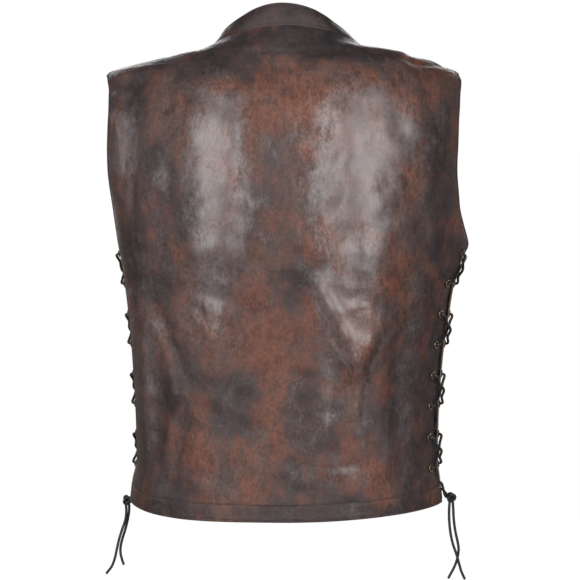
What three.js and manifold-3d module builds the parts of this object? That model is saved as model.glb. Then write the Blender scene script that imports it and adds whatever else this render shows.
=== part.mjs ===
// Leather vest with laced sides, in the hollow form that it has when worn and snapped shut, with the
// neck, armholes and hem open.
// Millimetres, +Z up. The back faces -Y, the front +Y, the wearer's right hand is at +X.
// The origin lies midway between the shoulders, at the height of their ridge.
import * as THREE from "three";
import { mergeVertices } from "three/addons/utils/BufferGeometryUtils.js";
import Module from "manifold-3d";

const wasm = await Module();
wasm.setup();

// Driving sizes
const LEATHER = 2.0; // thickness of every wall
const SEAM_GAP = 0.3; // between pieces that are sewn or set on each other
const LAP = 12.5; // how far each front passes the centre line
const LAP_STEP = 2.7; // how far the underlapping front lies under the other
const LAP_RAMP_START = 26; // x where the underlap starts to step in
const LAP_RAMP_END = 15; // x where it is fully under
const NECK_LEVEL = 12; // level of the neck seam at the sides
const TIP_LEVEL = -25; // level of the shoulder seam's outer end
const ARMPIT_LEVEL = -252; // level where the armhole meets the laced side
const HEM_LEVEL = -586; // level of the hem at the sides

// Rows of a table as objects with its columns' names.
function rowsOf(columns, rows) {
  const keys = columns.split(" ");
  return rows.map((row) => Object.fromEntries(row.map((value, i) => [keys[i], value])));
}

// Sections from the hem to the neck. level: height at the sides. left, right: half widths.
// back, front: depths. backRise, frontRise: how much higher the middle lies than the sides.
// dip: how much lower the left half of the back lies between its middle and its side.
// flare: how much further the right side stands out beside the armhole's lower corner.
// square: 2 is an ellipse, more is boxier.
const SECTIONS = rowsOf("level left right back front backRise frontRise dip flare square", [
  [-586, 206, 206.5, 118, 120, -17, -6, -5, 0, 2.3],
  [-560, 203, 203, 114, 119, -12, -4, -4.5, 0, 2.35],
  [-530, 197, 199.5, 111, 118, -7, -2, -3, 0, 2.4],
  [-480, 198, 200.5, 107, 116, -3, 0, -1, 0, 2.5],
  [-400, 202.5, 206, 104, 117, 0, 0, 0, 0, 2.6],
  [-330, 209, 215.5, 106, 120, 0, 0, 0, 0.5, 2.6],
  [-300, 213, 219, 107.9, 121.9, 0, 0, 0, 2.4, 2.6],
  [-280, 216, 221.7, 109, 123, 0, 0, 0, 6.5, 2.6],
  [-266, 218.5, 223.6, 109.75, 123.7, 0, 0, 0, 10, 2.6],
  [-252, 221, 225.4, 110.4, 124, 0, -1, 0, 15, 2.6],
  [-225, 225, 228.5, 111.4, 123.7, 0, -4, 0, 9, 2.6],
  [-200, 229.5, 231, 112, 122, 0, -8, 0, 2, 2.6],
  [-150, 239, 233, 111, 117, 0, -21, 0, 0, 2.55],
  [-100, 242, 238, 106.5, 107.5, 0.8, -38, 0, 0, 2.4],
  [-60, 242, 240, 98.5, 97, 3, -53, 0, 0, 2.2],
  [-40, 241, 238.5, 92.5, 91.2, 5.3, -61.5, 0, 0, 2.05],
  [-30, 241, 232, 88.7, 88.3, 6.8, -66, 0, 0, 1.95],
  [-23, 236.5, 221.5, 85.3, 85.7, 8.4, -68.2, 0, 0, 1.9],
  [-19, 225, 209, 83.3, 84, 9.8, -69.3, 0, 0, 1.85],
  [-15, 210, 203, 81, 82, 11, -70, 0, 0, 1.85],
  [-10, 188, 192, 78.5, 79.3, 12.4, -70.8, 0, 0, 1.85],
  [-5, 157, 163, 75.5, 76.6, 13.8, -71.5, 0, 0, 1.85],
  [0, 131, 127, 72.5, 73.8, 15.3, -72, 0, 0, 1.9],
  [4, 114, 110, 69.8, 71.2, 16.5, -72, 0, 0, 1.95],
  [8, 102, 102.5, 67, 68.6, 17.8, -72, 0, 0, 2],
  [12, 95, 96.5, 64, 66, 19, -72, 0, 0, 2.05],
]);
const FLARE_POWER = 8; // the flare fades with this power of the cosine round the body

// Where the panels end on each side, in degrees behind the side line (minus is ahead of it).
// Up to the armpit they are the laced edges, then the armhole. The shoulder seam goes on from there.
const EDGES = rowsOf("level backRight backLeft frontRight frontLeft", [
  [-586, 8, 3, -7, -13],
  [-565, 12, 1, -4, -15],
  [-540, 17, -1, 1, -16],
  [-480, 20, -2, 3, -17],
  [-330, 20, -2, 3, -17],
  [-300, 17, -1, 1, -16],
  [-275, 11, 2, -3, -14],
  [-252, 6, 5, -7, -12],
  [-238, 10, 9, -12, -16],
  [-220, 14.5, 13, -17, -20],
  [-200, 17.5, 16.5, -21, -23],
  [-150, 21.5, 21, -26, -27],
  [-100, 22.5, 22, -27, -27.5],
  [-60, 20, 20, -24, -24],
  [-42, 16, 16, -19, -19],
  [-33, 13, 13, -14, -14],
  [-30, 11.8, 11.8, -10.5, -10.5],
  [-28, 10.8, 10.8, -6.5, -6.5],
  [-27, 10.2, 10.2, -2.5, -2.5],
  [-26, 9.6, 9.6, 2.5, 2.5],
  [-25, 9, 9, 8.7, 8.7],
]);
const SEAM_TIP_ANGLE = 9; // shoulder seam at its outer end, degrees behind the side line
const SEAM_NECK_ANGLE = 14; // and at the neck
const SEAM_GAP_ANGLE = 0.3; // opening of the seam, as an angle

// Largest folds: a straight run from one place to another on the back or front.
// width: distance at which it has faded to a third. height: out of the wall, minus is a hollow.
const FOLDS = rowsOf("name side x0 z0 x1 z1 width height", [
  ["spine hollow", "back", 2, -30, -6, -560, 36, -7],
  ["left blade", "back", -78, -70, -92, -250, 46, 7],
  ["right blade", "back", 92, -60, 118, -300, 52, 8],
  ["right shoulder ledge", "back", 34, -24, 152, -12, 13, 3],
  ["right tip hollow", "back", 166, -16, 192, -32, 13, -3.5],
  ["waist fold, crown", "back", 110, -270, 98, -396, 27, 5],
  ["waist fold, long arm", "back", 52, -318, 99, -412, 14, 3.5],
  ["waist fold, short arm", "back", 134, -358, 101, -405, 13, 3],
  ["waist fold, outer hollow", "back", 28, -325, 84, -432, 15, -3.5],
  ["left side ridge, upper", "back", -178, -330, -132, -444, 13, 4.5],
  ["left side ridge, lower", "back", -132, -444, -160, -575, 13, 4],
  ["left side ridge, edge", "back", -188, -320, -166, -575, 12, 3.5],
  ["left side hollow", "back", -160, -330, -152, -560, 13, -3],
  ["right side hollow", "back", 160, -300, 150, -480, 16, -3],
  ["right chest", "front", 88, -130, 96, -200, 55, 6],
  ["left chest", "front", -88, -130, -96, -200, 55, 6],
  ["right front hollow", "front", 120, -300, 96, -480, 22, -4],
  ["left front hollow", "front", -126, -310, -98, -500, 22, -4],
  ["right front ridge", "front", 152, -330, 138, -560, 16, 3.5],
  ["left front ridge", "front", -150, -300, -142, -540, 16, 3.5],
]);

// Collar
const COLLAR_TOP = {
  left: 84, right: 82, back: 60, front: 58, side: 25, backRise: 35.5, frontRise: -55, dip: 0, flare: 0,
  square: 2.05,
};
const COLLAR_LIFT = 0.35; // clear of the neck edge of the panels
const COLLAR_BOW = 1.5; // how far the stand bows out at half height
const COLLAR_END_GAP = 1.2; // between each end and the centre front
const COLLAR_ROWS = 2;

// Lacing
const EYELET_ROWS = 8;
const EYELET_TOP_LEVEL = -262;
const EYELET_PITCH = 39.5;
const EYELET_INSET = 12.5; // from the edge of the leather to the middle of the eyelet
const EYELET = {
  bore: 2.7, // radius of the open middle
  barrel: 3.2, // outer radius of the barrel
  flange: 5.1, // radius of the flange outside
  lip: 0.6, // how far the flange's rounded lip is set back from the bore
  thick: 0.9,
  lift: 0.9, // of the flange over the leather
  curl: 4.2, // radius of the curled foot inside
  foot: 2.7, // depth at which the curl starts
  depth: 3.5,
  sides: 7,
};
const HOLE_RADIUS = 3.9;
const HOLE_DEPTH = 12; // length of the cutter
const HOLE_SIDES = 6;
const LACE_RADIUS = 1.75;
const LACE_SIDES = 5;
const LACE = {
  turnOut: 4.3, // height of the middle of the lace where it turns out of an eyelet
  turnIn: -6.9, // and where it turns inside
  turnReach: 2.2, // sideways reach of such a turn
  passIn: -3.6, // where it leaves the barrel of an eyelet inside
  passOut: 1.1, // and outside
  overEdge: 2.9, // height over the edge of the leather
  crossUnder: 2.2, // height of the lower strand where two cross
  crossOver: 6.1, // height of the upper strand there
  inside: -5.2, // depth of the stretches inside the wall
  topSettle: 0.9, // how much lower the first crossing lies, where the lace is pulled tight
  lastDrop: 14, // how far below the last eyelet the stretch inside turns away
};
// The way from the last eyelets to the knot, by the strand's first panel. level: where it comes out
// through the laced gap. shift: how far it keeps to one side of the other strand.
const TAIL = {
  back: { level: -562, shift: -2 },
  front: { level: -571, shift: 2 },
  before: 8, // how far over that level it leaves the wall's inner side
  turn: -4, // depth at which it turns out
  out: 1, // height at which it leaves the gap
};

// Knots and free ends. The route columns are x, y and z of the middle of the lace.
const KNOT = { radius: 6.2, height: 12.5, sides: 8 };
const KNOT_GAP = 1.2; // between the lace's own solid and the knot
const KNOT_ENTRY = 3.5; // height over the knot's middle at which the strands come in
const KNOTS = [
  { side: "right", x: 217.5, y: 0, z: -582 },
  { side: "left", x: -213, y: 10, z: -590 },
];
const END_SIDES = 8;
const END_STEPS = 12;
const LACE_ENDS = [
  {
    name: "lace_end_right_1",
    route: [[215.2, -1.5, -588.6], [214.6, -2, -597], [214.6, -2.2, -610], [216, -2.2, -626],
      [219.2, -2.2, -642], [224, -2.2, -656], [227.4, -2, -668], [230.2, -1.6, -678], [234.6, -1.4, -688]],
  },
  {
    name: "lace_end_right_2",
    route: [[219.4, 1.5, -588.6], [220, 2, -597], [220.6, 2.2, -610], [222.6, 2.2, -626], [225.6, 2.2, -640],
      [227, 2.2, -650], [225.4, 2.2, -662], [221.6, 2, -673], [214, 1.8, -687.5]],
  },
  {
    name: "lace_end_left_1",
    route: [[-214.2, 8, -596.6], [-213.8, 7.6, -605], [-215, 7.4, -616], [-219.4, 7.2, -629],
      [-223.4, 7, -642], [-226.4, 7, -655], [-229, 7, -667], [-233.2, 7, -678], [-240, 7.2, -687]],
  },
  {
    name: "lace_end_left_2",
    route: [[-210.6, 12, -596.6], [-210.8, 12.4, -605], [-212.6, 12.6, -616], [-215.8, 12.8, -629],
      [-219.6, 13, -641], [-222.2, 13, -652], [-222.4, 13, -661], [-220.6, 13, -669], [-218.4, 13, -675.5]],
  },
];

// Snaps on the centre line of the outer front
const SNAP = { count: 6, top: -96, bottom: -566, radius: 7.5, height: 3.2, sides: 10 };

// Finishes
const LEATHER_FINISH = { color: 0x43261d, roughness: 0.42, metalness: 0 };
const BRASS_FINISH = { color: 0x8d7748, roughness: 0.38, metalness: 1 };
const LACE_FINISH = { color: 0x14110f, roughness: 0.6, metalness: 0 };

const UP = new THREE.Vector3(0, 1, 0);
const RADIAN = Math.PI / 180;

// A smooth value against level: cubic pieces whose slopes are weighted harmonic means, so that
// the value never swings past its rows.
function track(rows, key) {
  const x = rows.map((row) => row.level);
  const y = rows.map((row) => row[key]);
  const last = x.length - 1;
  const width = x.slice(1).map((value, i) => value - x[i]);
  const slope = width.map((w, i) => (y[i + 1] - y[i]) / w);
  const tangent = x.map((value, i) => {
    if (i === 0) return slope[0];
    if (i === last) return slope[last - 1];
    const before = slope[i - 1];
    const after = slope[i];
    if (before * after <= 0) return 0;
    const w1 = 2 * width[i] + width[i - 1];
    const w2 = width[i] + 2 * width[i - 1];
    return (w1 + w2) / (w1 / before + w2 / after);
  });
  return (level) => {
    let i = 0;
    while (i < last - 1 && level > x[i + 1]) i += 1;
    const t = (level - x[i]) / width[i];
    const rest = 1 - t;
    return (1 + 2 * t) * rest * rest * y[i] + t * rest * rest * width[i] * tangent[i]
      + t * t * (3 - 2 * t) * y[i + 1] - t * t * rest * width[i] * tangent[i + 1];
  };
}

function tracks(rows) {
  const keys = Object.keys(rows[0]).filter((key) => key !== "level");
  return Object.fromEntries(keys.map((key) => [key, track(rows, key)]));
}

const section = tracks(SECTIONS);
const edge = tracks(EDGES);

// One point of a boxy ellipse. angle: 0 is the right side, 90 the middle of the back, 180 the left side.
function ringPoint(angle, size, height) {
  const c = Math.cos(angle * RADIAN);
  const s = Math.sin(angle * RADIAN);
  const scale = (Math.abs(c) ** size.square + Math.abs(s) ** size.square) ** (-1 / size.square);
  const half = c > 0 ? size.right + size.flare * c ** FLARE_POWER : size.left;
  const depth = s > 0 ? size.back : size.front;
  const rise = s > 0 ? size.backRise : size.frontRise;
  const dip = s > 0 && c < 0 ? size.dip * 4 * c * c : 0;
  return new THREE.Vector3(half * c * scale, -depth * s * scale, height + (rise + dip) * s * s);
}

// Angle behind the side line at which a panel ends: laced edge and armhole, then the shoulder seam.
function limitAngle(panel, side, level) {
  if (level < TIP_LEVEL) return edge[panel + (side === "right" ? "Right" : "Left")](level);
  const t = (level - TIP_LEVEL) / (NECK_LEVEL - TIP_LEVEL);
  const seam = SEAM_TIP_ANGLE + (SEAM_NECK_ANGLE - SEAM_TIP_ANGLE) * t;
  return panel === "back" ? seam : seam - SEAM_GAP_ANGLE;
}

function sizesAt(level) {
  return Object.fromEntries(Object.keys(section).map((key) => [key, section[key](level)]));
}

function bodyPoint(angle, level) {
  return ringPoint(angle, sizesAt(level), level);
}

// Height of the folds at a place on the back or front: each fades with the square of the distance.
function foldHeight(point, side) {
  let height = 0;
  for (const fold of FOLDS) {
    if (fold.side !== side) continue;
    const dx = fold.x1 - fold.x0;
    const dz = fold.z1 - fold.z0;
    const along = ((point.x - fold.x0) * dx + (point.z - fold.z0) * dz) / (dx * dx + dz * dz);
    const t = Math.min(1, Math.max(0, along));
    const distance = Math.hypot(point.x - fold.x0 - t * dx, point.z - fold.z0 - t * dz);
    height += fold.height * Math.exp(-((distance / fold.width) ** 2));
  }
  return height;
}

function normalOf(place, u, v, du, dv) {
  const alongU = place(u + du, v).sub(place(u - du, v));
  const alongV = place(u, v + dv).sub(place(u, v - dv));
  return alongV.cross(alongU).normalize();
}

// A place on the outer face of the garment, height mm above it, with its outward normal.
function surface(angle, level, height = 0) {
  const point = bodyPoint(angle, level);
  const step = level > TIP_LEVEL ? 0.5 : 2;
  const normal = normalOf(bodyPoint, angle, Math.min(level, NECK_LEVEL - step), 0.5, step);
  const side = Math.sin(angle * RADIAN) > 0 ? "back" : "front";
  const fade = Math.min(1, Math.abs(Math.sin(angle * RADIAN)) * 3);
  point.addScaledVector(normal, foldHeight(point, side) * fade + height);
  return { point, normal };
}

// Angles at measured distances along one level, from one angle to another.
function walk(level, from, to) {
  const samples = 120;
  const sizes = sizesAt(level);
  const angles = [];
  const lengths = [];
  let before = null;
  for (let i = 0; i <= samples; i += 1) {
    const angle = from + ((to - from) * i) / samples;
    const point = ringPoint(angle, sizes, level);
    const length = before ? lengths[i - 1] + Math.hypot(point.x - before.x, point.y - before.y) : 0;
    angles.push(angle);
    lengths.push(length);
    before = point;
  }
  return {
    length: lengths[samples],
    at(distance) {
      let i = 1;
      while (i < samples && lengths[i] < distance) i += 1;
      const t = (distance - lengths[i - 1]) / (lengths[i] - lengths[i - 1]);
      return angles[i - 1] + t * (angles[i] - angles[i - 1]);
    },
  };
}

// Closed wall on a grid of outer points: the inner points lie one thickness down the normals,
// and four rims join the two faces. Its columns run against the angle, so the faces point out.
function wallGeometry(grid, thickness) {
  const rows = grid.length;
  const columns = grid[0].length;
  const positions = [];
  for (const depth of [0, thickness]) {
    for (const row of grid) {
      for (const { point, normal } of row) {
        const p = point.clone().addScaledVector(normal, -depth);
        positions.push(p.x, p.y, p.z);
      }
    }
  }
  const outer = (i, j) => i * columns + j;
  const inner = (i, j) => rows * columns + i * columns + j;
  const index = [];
  const quad = (a, b, c, d) => index.push(a, b, c, a, c, d);
  for (let i = 0; i < rows - 1; i += 1) {
    for (let j = 0; j < columns - 1; j += 1) {
      quad(outer(i, j), outer(i, j + 1), outer(i + 1, j + 1), outer(i + 1, j));
      quad(inner(i, j), inner(i + 1, j), inner(i + 1, j + 1), inner(i, j + 1));
    }
  }
  for (let j = 0; j < columns - 1; j += 1) {
    quad(outer(0, j), inner(0, j), inner(0, j + 1), outer(0, j + 1));
    quad(outer(rows - 1, j), outer(rows - 1, j + 1), inner(rows - 1, j + 1), inner(rows - 1, j));
  }
  for (let i = 0; i < rows - 1; i += 1) {
    quad(outer(i, 0), outer(i + 1, 0), inner(i + 1, 0), inner(i, 0));
    quad(outer(i, columns - 1), inner(i, columns - 1), inner(i + 1, columns - 1), outer(i + 1, columns - 1));
  }
  const geometry = new THREE.BufferGeometry();
  geometry.setAttribute("position", new THREE.Float32BufferAttribute(positions, 3));
  geometry.setIndex(index);
  return geometry;
}

function toSolid(geometry) {
  const bare = geometry.clone();
  bare.deleteAttribute("normal");
  bare.deleteAttribute("uv");
  const merged = mergeVertices(bare, 1e-4);
  return new wasm.Manifold(new wasm.Mesh({
    numProp: 3,
    vertProperties: new Float32Array(merged.attributes.position.array),
    triVerts: new Uint32Array(merged.index.array),
  }));
}

function toGeometry(solid) {
  const mesh = solid.getMesh();
  const geometry = new THREE.BufferGeometry();
  geometry.setAttribute("position", new THREE.Float32BufferAttribute(Array.from(mesh.vertProperties), 3));
  geometry.setIndex(Array.from(mesh.triVerts));
  return geometry;
}

const vest = new THREE.Group();

function addPiece(name, geometry, finish) {
  geometry.computeVertexNormals();
  const mesh = new THREE.Mesh(geometry, new THREE.MeshStandardMaterial(finish));
  mesh.name = name;
  vest.add(mesh);
  return mesh;
}

// Levels of the rows of the panels
const eyeletLevels = Array.from({ length: EYELET_ROWS }, (_, row) => EYELET_TOP_LEVEL - row * EYELET_PITCH);
const EDGE_STRIP = [0, 6, EYELET_INSET, 19, 26]; // columns beside a laced edge
const SHOULDER_LEVELS = [TIP_LEVEL, -21, -16, -10, -4, 3, NECK_LEVEL];

function evenly(from, to, count) {
  return Array.from({ length: count }, (_, i) => from + ((to - from) * i) / count);
}

function panelLevels(perPitch, armhole) {
  const lowest = eyeletLevels[EYELET_ROWS - 1];
  return [
    ...evenly(HEM_LEVEL, lowest, perPitch + 1),
    ...evenly(lowest, EYELET_TOP_LEVEL, perPitch * (EYELET_ROWS - 1)),
    EYELET_TOP_LEVEL,
    ARMPIT_LEVEL,
    ...armhole,
    ...SHOULDER_LEVELS,
  ];
}

const BACK_ARMHOLE = [-238, -220, -198, -174, -148, -122, -96, -72, -52, -38, -28];
const FRONT_ARMHOLE = [-238, -215, -190, -155, -120, -85, -60, -42, -33, -30, -28, -27, -26];
const backLevels = panelLevels(2, BACK_ARMHOLE);
const frontLevels = panelLevels(1, FRONT_ARMHOLE);
const BACK_COLUMNS = 17;
const FRONT_COLUMNS = 8;

function backAngles(level) {
  const path = walk(level, limitAngle("back", "right", level), 180 - limitAngle("back", "left", level));
  const strip = EDGE_STRIP[EDGE_STRIP.length - 1];
  const stops = [
    ...EDGE_STRIP.slice(0, -1),
    ...evenly(strip, path.length - strip, BACK_COLUMNS),
    ...EDGE_STRIP.map((inset) => path.length - inset).reverse(),
  ];
  return stops.map((stop) => path.at(stop));
}

function backGrid() {
  return backLevels.map((level) => backAngles(level).reverse().map((angle) => surface(angle, level)));
}

// Angle on the front at which a level has the given x, found by halving.
function frontAngle(level, x) {
  const sizes = sizesAt(level);
  let low = -150;
  let high = -30;
  for (let i = 0; i < 40; i += 1) {
    const middle = (low + high) / 2;
    if (ringPoint(middle, sizes, level).x < x) low = middle;
    else high = middle;
  }
  return (low + high) / 2;
}

// Columns run from the side edge to the lap past the centre line.
const LAP_MARKS = [LAP_RAMP_START, LAP_RAMP_END, 0, -LAP];

function frontAngles(level, side) {
  const sign = side === "right" ? 1 : -1;
  const limit = limitAngle("front", side, level);
  const path = walk(level, sign > 0 ? limit : -180 - limit, frontAngle(level, sign * LAP_RAMP_START));
  const strip = EDGE_STRIP[EDGE_STRIP.length - 1];
  const stops = [...EDGE_STRIP.slice(0, -1), ...evenly(strip, path.length, FRONT_COLUMNS)];
  return [
    ...stops.map((stop) => path.at(stop)),
    ...LAP_MARKS.map((mark) => frontAngle(level, sign * mark)),
  ];
}

// The right front steps in under the left one.
function frontGrid(side) {
  return frontLevels.map((level) => {
    const angles = frontAngles(level, side);
    const row = angles.map((angle, j) => {
      const under = side === "right" && j > angles.length - LAP_MARKS.length;
      return surface(angle, level, under ? -LAP_STEP : 0);
    });
    return side === "right" ? row : row.reverse();
  });
}

// Eyelets: place, outward normal and name of each, on both edges of both sides.
function eyeletAt(panel, side, row) {
  const level = eyeletLevels[row];
  const right = side === "right";
  const limit = limitAngle(panel, side, level);
  const inward = panel === "back" ? 1 : -1;
  const from = right ? limit : 180 - limit;
  const to = right ? from + 60 * inward : from - 60 * inward;
  const angle = walk(level, from, to).at(EYELET_INSET);
  return { angle, level, ...surface(angle, level) };
}

function turned(mesh, point, normal) {
  mesh.quaternion.setFromUnitVectors(UP, normal);
  mesh.position.copy(point);
  return mesh;
}

function eyeletGeometry() {
  const e = EYELET;
  const profile = [
    [e.bore, -e.depth], [e.curl, -e.depth], [e.barrel, -e.foot],
    [e.barrel, e.lift], [e.flange, e.lift], [e.bore + e.lip, e.lift + e.thick],
  ].map(([radius, height]) => new THREE.Vector2(radius, height));
  return new THREE.LatheGeometry([...profile, profile[0]], e.sides);
}

function holeSolid(place) {
  const cutter = new THREE.CylinderGeometry(HOLE_RADIUS, HOLE_RADIUS, HOLE_DEPTH, HOLE_SIDES);
  const matrix = new THREE.Matrix4().compose(
    place.point,
    new THREE.Quaternion().setFromUnitVectors(UP, place.normal),
    new THREE.Vector3(1, 1, 1),
  );
  return toSolid(cutter.applyMatrix4(matrix));
}

const eyelets = {};
for (const panel of ["back", "front"]) {
  for (const side of ["right", "left"]) {
    eyelets[panel + side] = eyeletLevels.map((level, row) => eyeletAt(panel, side, row));
  }
}

function panelWithHoles(grid, places) {
  let solid = toSolid(wallGeometry(grid, LEATHER));
  for (const place of places) solid = solid.subtract(holeSolid(place));
  return toGeometry(solid);
}

const backEyelets = [...eyelets.backright, ...eyelets.backleft];
addPiece("back_panel", panelWithHoles(backGrid(), backEyelets), LEATHER_FINISH);
addPiece("front_right", panelWithHoles(frontGrid("right"), eyelets.frontright), LEATHER_FINISH);
addPiece("front_left", panelWithHoles(frontGrid("left"), eyelets.frontleft), LEATHER_FINISH);

for (const [place, list] of Object.entries(eyelets)) {
  list.forEach((spot, row) => {
    turned(addPiece(`eyelet_${place}_${row + 1}`, eyeletGeometry(), BRASS_FINISH), spot.point, spot.normal);
  });
}

// Stand collar: the neck ring lifted clear, drawn in to the top ring, bowed out between them.
function collarPoint(angle, t) {
  const low = bodyPoint(angle, NECK_LEVEL);
  const high = ringPoint(angle, COLLAR_TOP, COLLAR_TOP.side);
  const point = low.lerp(high, t);
  const out = new THREE.Vector3(point.x, point.y, 0).normalize();
  return point.addScaledVector(out, COLLAR_BOW * 4 * t * (1 - t)).add(new THREE.Vector3(0, 0, COLLAR_LIFT));
}

// Its columns stand over those of the panels' neck edges, so that the seam is even all round.
function collarGrid() {
  const end = COLLAR_END_GAP / COLLAR_TOP.right / RADIAN;
  const right = frontAngles(NECK_LEVEL, "right").slice(1, -2).reverse();
  const left = frontAngles(NECK_LEVEL, "left").slice(1, -2).map((angle) => angle + 360);
  const angles = [-90 + end, ...right, ...backAngles(NECK_LEVEL), ...left, 270 - end].reverse();
  return evenly(0, 1, COLLAR_ROWS).concat(1).map((t) => angles.map((angle) => {
    const at = Math.min(0.98, Math.max(0.02, t));
    return { point: collarPoint(angle, t), normal: normalOf(collarPoint, angle, at, 0.5, 0.02) };
  }));
}

addPiece("collar", wallGeometry(collarGrid(), LEATHER), LEATHER_FINISH);

// A path that an extrusion follows point by point.
class LaceWay extends THREE.Curve {
  constructor(points) {
    super();
    this.points = points;
  }

  getPoint(t, target = new THREE.Vector3()) {
    const place = t * (this.points.length - 1);
    const i = Math.min(this.points.length - 2, Math.floor(place + 1e-6));
    return target.lerpVectors(this.points[i], this.points[i + 1], place - i);
  }

  getPointAt(t, target) {
    return this.getPoint(t, target);
  }

  getTangentAt(t, target = new THREE.Vector3()) {
    const i = Math.round(t * (this.points.length - 1));
    const before = this.points[Math.max(0, i - 1)];
    const after = this.points[Math.min(this.points.length - 1, i + 1)];
    const arrive = this.points[i].clone().sub(before).normalize();
    const leave = after.clone().sub(this.points[i]).normalize();
    return target.copy(arrive.add(leave)).normalize();
  }
}

function laceGeometry(points, sides) {
  const ring = new THREE.Shape(evenly(0, 2 * Math.PI, sides).map(
    (angle) => new THREE.Vector2(LACE_RADIUS * Math.cos(angle), LACE_RADIUS * Math.sin(angle)),
  ));
  const way = new LaceWay(points);
  return new THREE.ExtrudeGeometry(ring, { steps: points.length - 1, extrudePath: way, bevelEnabled: false });
}

// Points of a pass through an eyelet, from inside to outside, towards the next place outside
// and from the last place inside.
function passOut(spot, fromInside, toOutside) {
  const at = (height, goal) => {
    const point = spot.point.clone().addScaledVector(spot.normal, height);
    if (!goal) return point;
    const sideways = goal.clone().sub(spot.point);
    sideways.addScaledVector(spot.normal, -sideways.dot(spot.normal)).normalize();
    return point.addScaledVector(sideways, LACE.turnReach);
  };
  return [
    at(LACE.turnIn, fromInside), at(LACE.passIn), at(LACE.passOut), at(LACE.turnOut, toOutside),
  ];
}

function between(a, b, t, height) {
  return surface(a.angle + (b.angle - a.angle) * t, a.level + (b.level - a.level) * t, height).point;
}

// One strand from the top row down: out, across to the other panel, in, down inside, out again.
function strandPoints(side, startPanel, topInside) {
  const points = [];
  let panel = startPanel;
  let inside = topInside;
  for (let row = 0; row < EYELET_ROWS; row += 2) {
    const other = panel === "back" ? "front" : "back";
    const from = eyelets[panel + side][row];
    const to = eyelets[other + side][row + 1];
    const upper = (panel === startPanel) === (startPanel === "back");
    const settle = row === 0 ? LACE.topSettle : 0;
    const cross = (upper ? LACE.crossOver : LACE.crossUnder) - settle;
    const over = [
      between(from, to, 0.25, LACE.overEdge),
      between(from, to, 0.5, cross),
      between(from, to, 0.75, LACE.overEdge),
    ];
    const below = row + 2 < EYELET_ROWS ? eyelets[other + side][row + 2] : null;
    const drop = below ? between(to, below, 0.5, LACE.inside)
      : surface(to.angle, to.level - LACE.lastDrop, LACE.inside).point;
    points.push(...passOut(from, inside, over[0]), ...over, ...passOut(to, drop, over[2]).reverse(), drop);
    inside = drop;
    panel = other;
  }
  return { points, panel };
}

function lacePoints(side) {
  const middle = between(eyelets["back" + side][0], eyelets["front" + side][0], 0.5, LACE.inside);
  const one = strandPoints(side, "back", middle);
  const two = strandPoints(side, "front", middle);
  const knot = KNOTS.find((row) => row.side === side);
  const gapAngle = (level) => {
    const angle = (limitAngle("back", side, level) + limitAngle("front", side, level)) / 2;
    return side === "right" ? angle : 180 - angle;
  };
  const tail = (strand, { level, shift }) => {
    const spot = eyelets[strand.panel + side][EYELET_ROWS - 1];
    const angle = gapAngle(level);
    const out = Math.sign(knot.x);
    return [
      surface(spot.angle + (angle - spot.angle) / 2, level + TAIL.before, LACE.inside - 0.5).point,
      surface(angle, level + 2, TAIL.turn).point,
      surface(angle, level, TAIL.out).point.add(new THREE.Vector3(0, shift, 0)),
      new THREE.Vector3(knot.x - out * (KNOT.radius + KNOT_GAP), knot.y + shift, knot.z + KNOT_ENTRY + shift),
    ];
  };
  return [
    ...[...one.points, ...tail(one, TAIL.back)].reverse(),
    middle,
    ...two.points,
    ...tail(two, TAIL.front),
  ];
}

for (const side of ["right", "left"]) {
  addPiece(`lace_${side}`, laceGeometry(lacePoints(side), LACE_SIDES), LACE_FINISH);
}

// Knot: a rounded lump, wider at its middle
for (const knot of KNOTS) {
  const half = KNOT.height / 2;
  const profile = [
    [0, -1], [0.6, -1], [0.92, -0.55], [1, 0.1], [0.85, 0.6], [0.5, 1], [0, 1],
  ].map(([radius, height]) => new THREE.Vector2(radius * KNOT.radius, height * half));
  const mesh = addPiece(`knot_${knot.side}`, new THREE.LatheGeometry(profile, KNOT.sides), LACE_FINISH);
  mesh.rotation.x = Math.PI / 2;
  mesh.position.set(knot.x, knot.y, knot.z);
}

for (const end of LACE_ENDS) {
  const curve = new THREE.CatmullRomCurve3(end.route.map((place) => new THREE.Vector3(...place)));
  addPiece(end.name, laceGeometry(curve.getSpacedPoints(END_STEPS), END_SIDES), LACE_FINISH);
}

// Snap caps down the centre front
for (let i = 0; i < SNAP.count; i += 1) {
  const wanted = SNAP.top + ((SNAP.bottom - SNAP.top) * i) / (SNAP.count - 1);
  let level = wanted;
  for (let pass = 0; pass < 8; pass += 1) level += wanted - surface(-90, level).point.z;
  const spot = surface(-90, level);
  const r = SNAP.radius;
  const h = SNAP.height;
  const profile = [[0, SEAM_GAP], [r, SEAM_GAP], [r, 0.45 * h], [0.7 * r, 0.92 * h], [0, h]]
    .map(([radius, height]) => new THREE.Vector2(radius, height));
  const snap = addPiece(`snap_${i + 1}`, new THREE.LatheGeometry(profile, SNAP.sides), BRASS_FINISH);
  turned(snap, spot.point, spot.normal);
}

export default vest;
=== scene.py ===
import math

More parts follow.
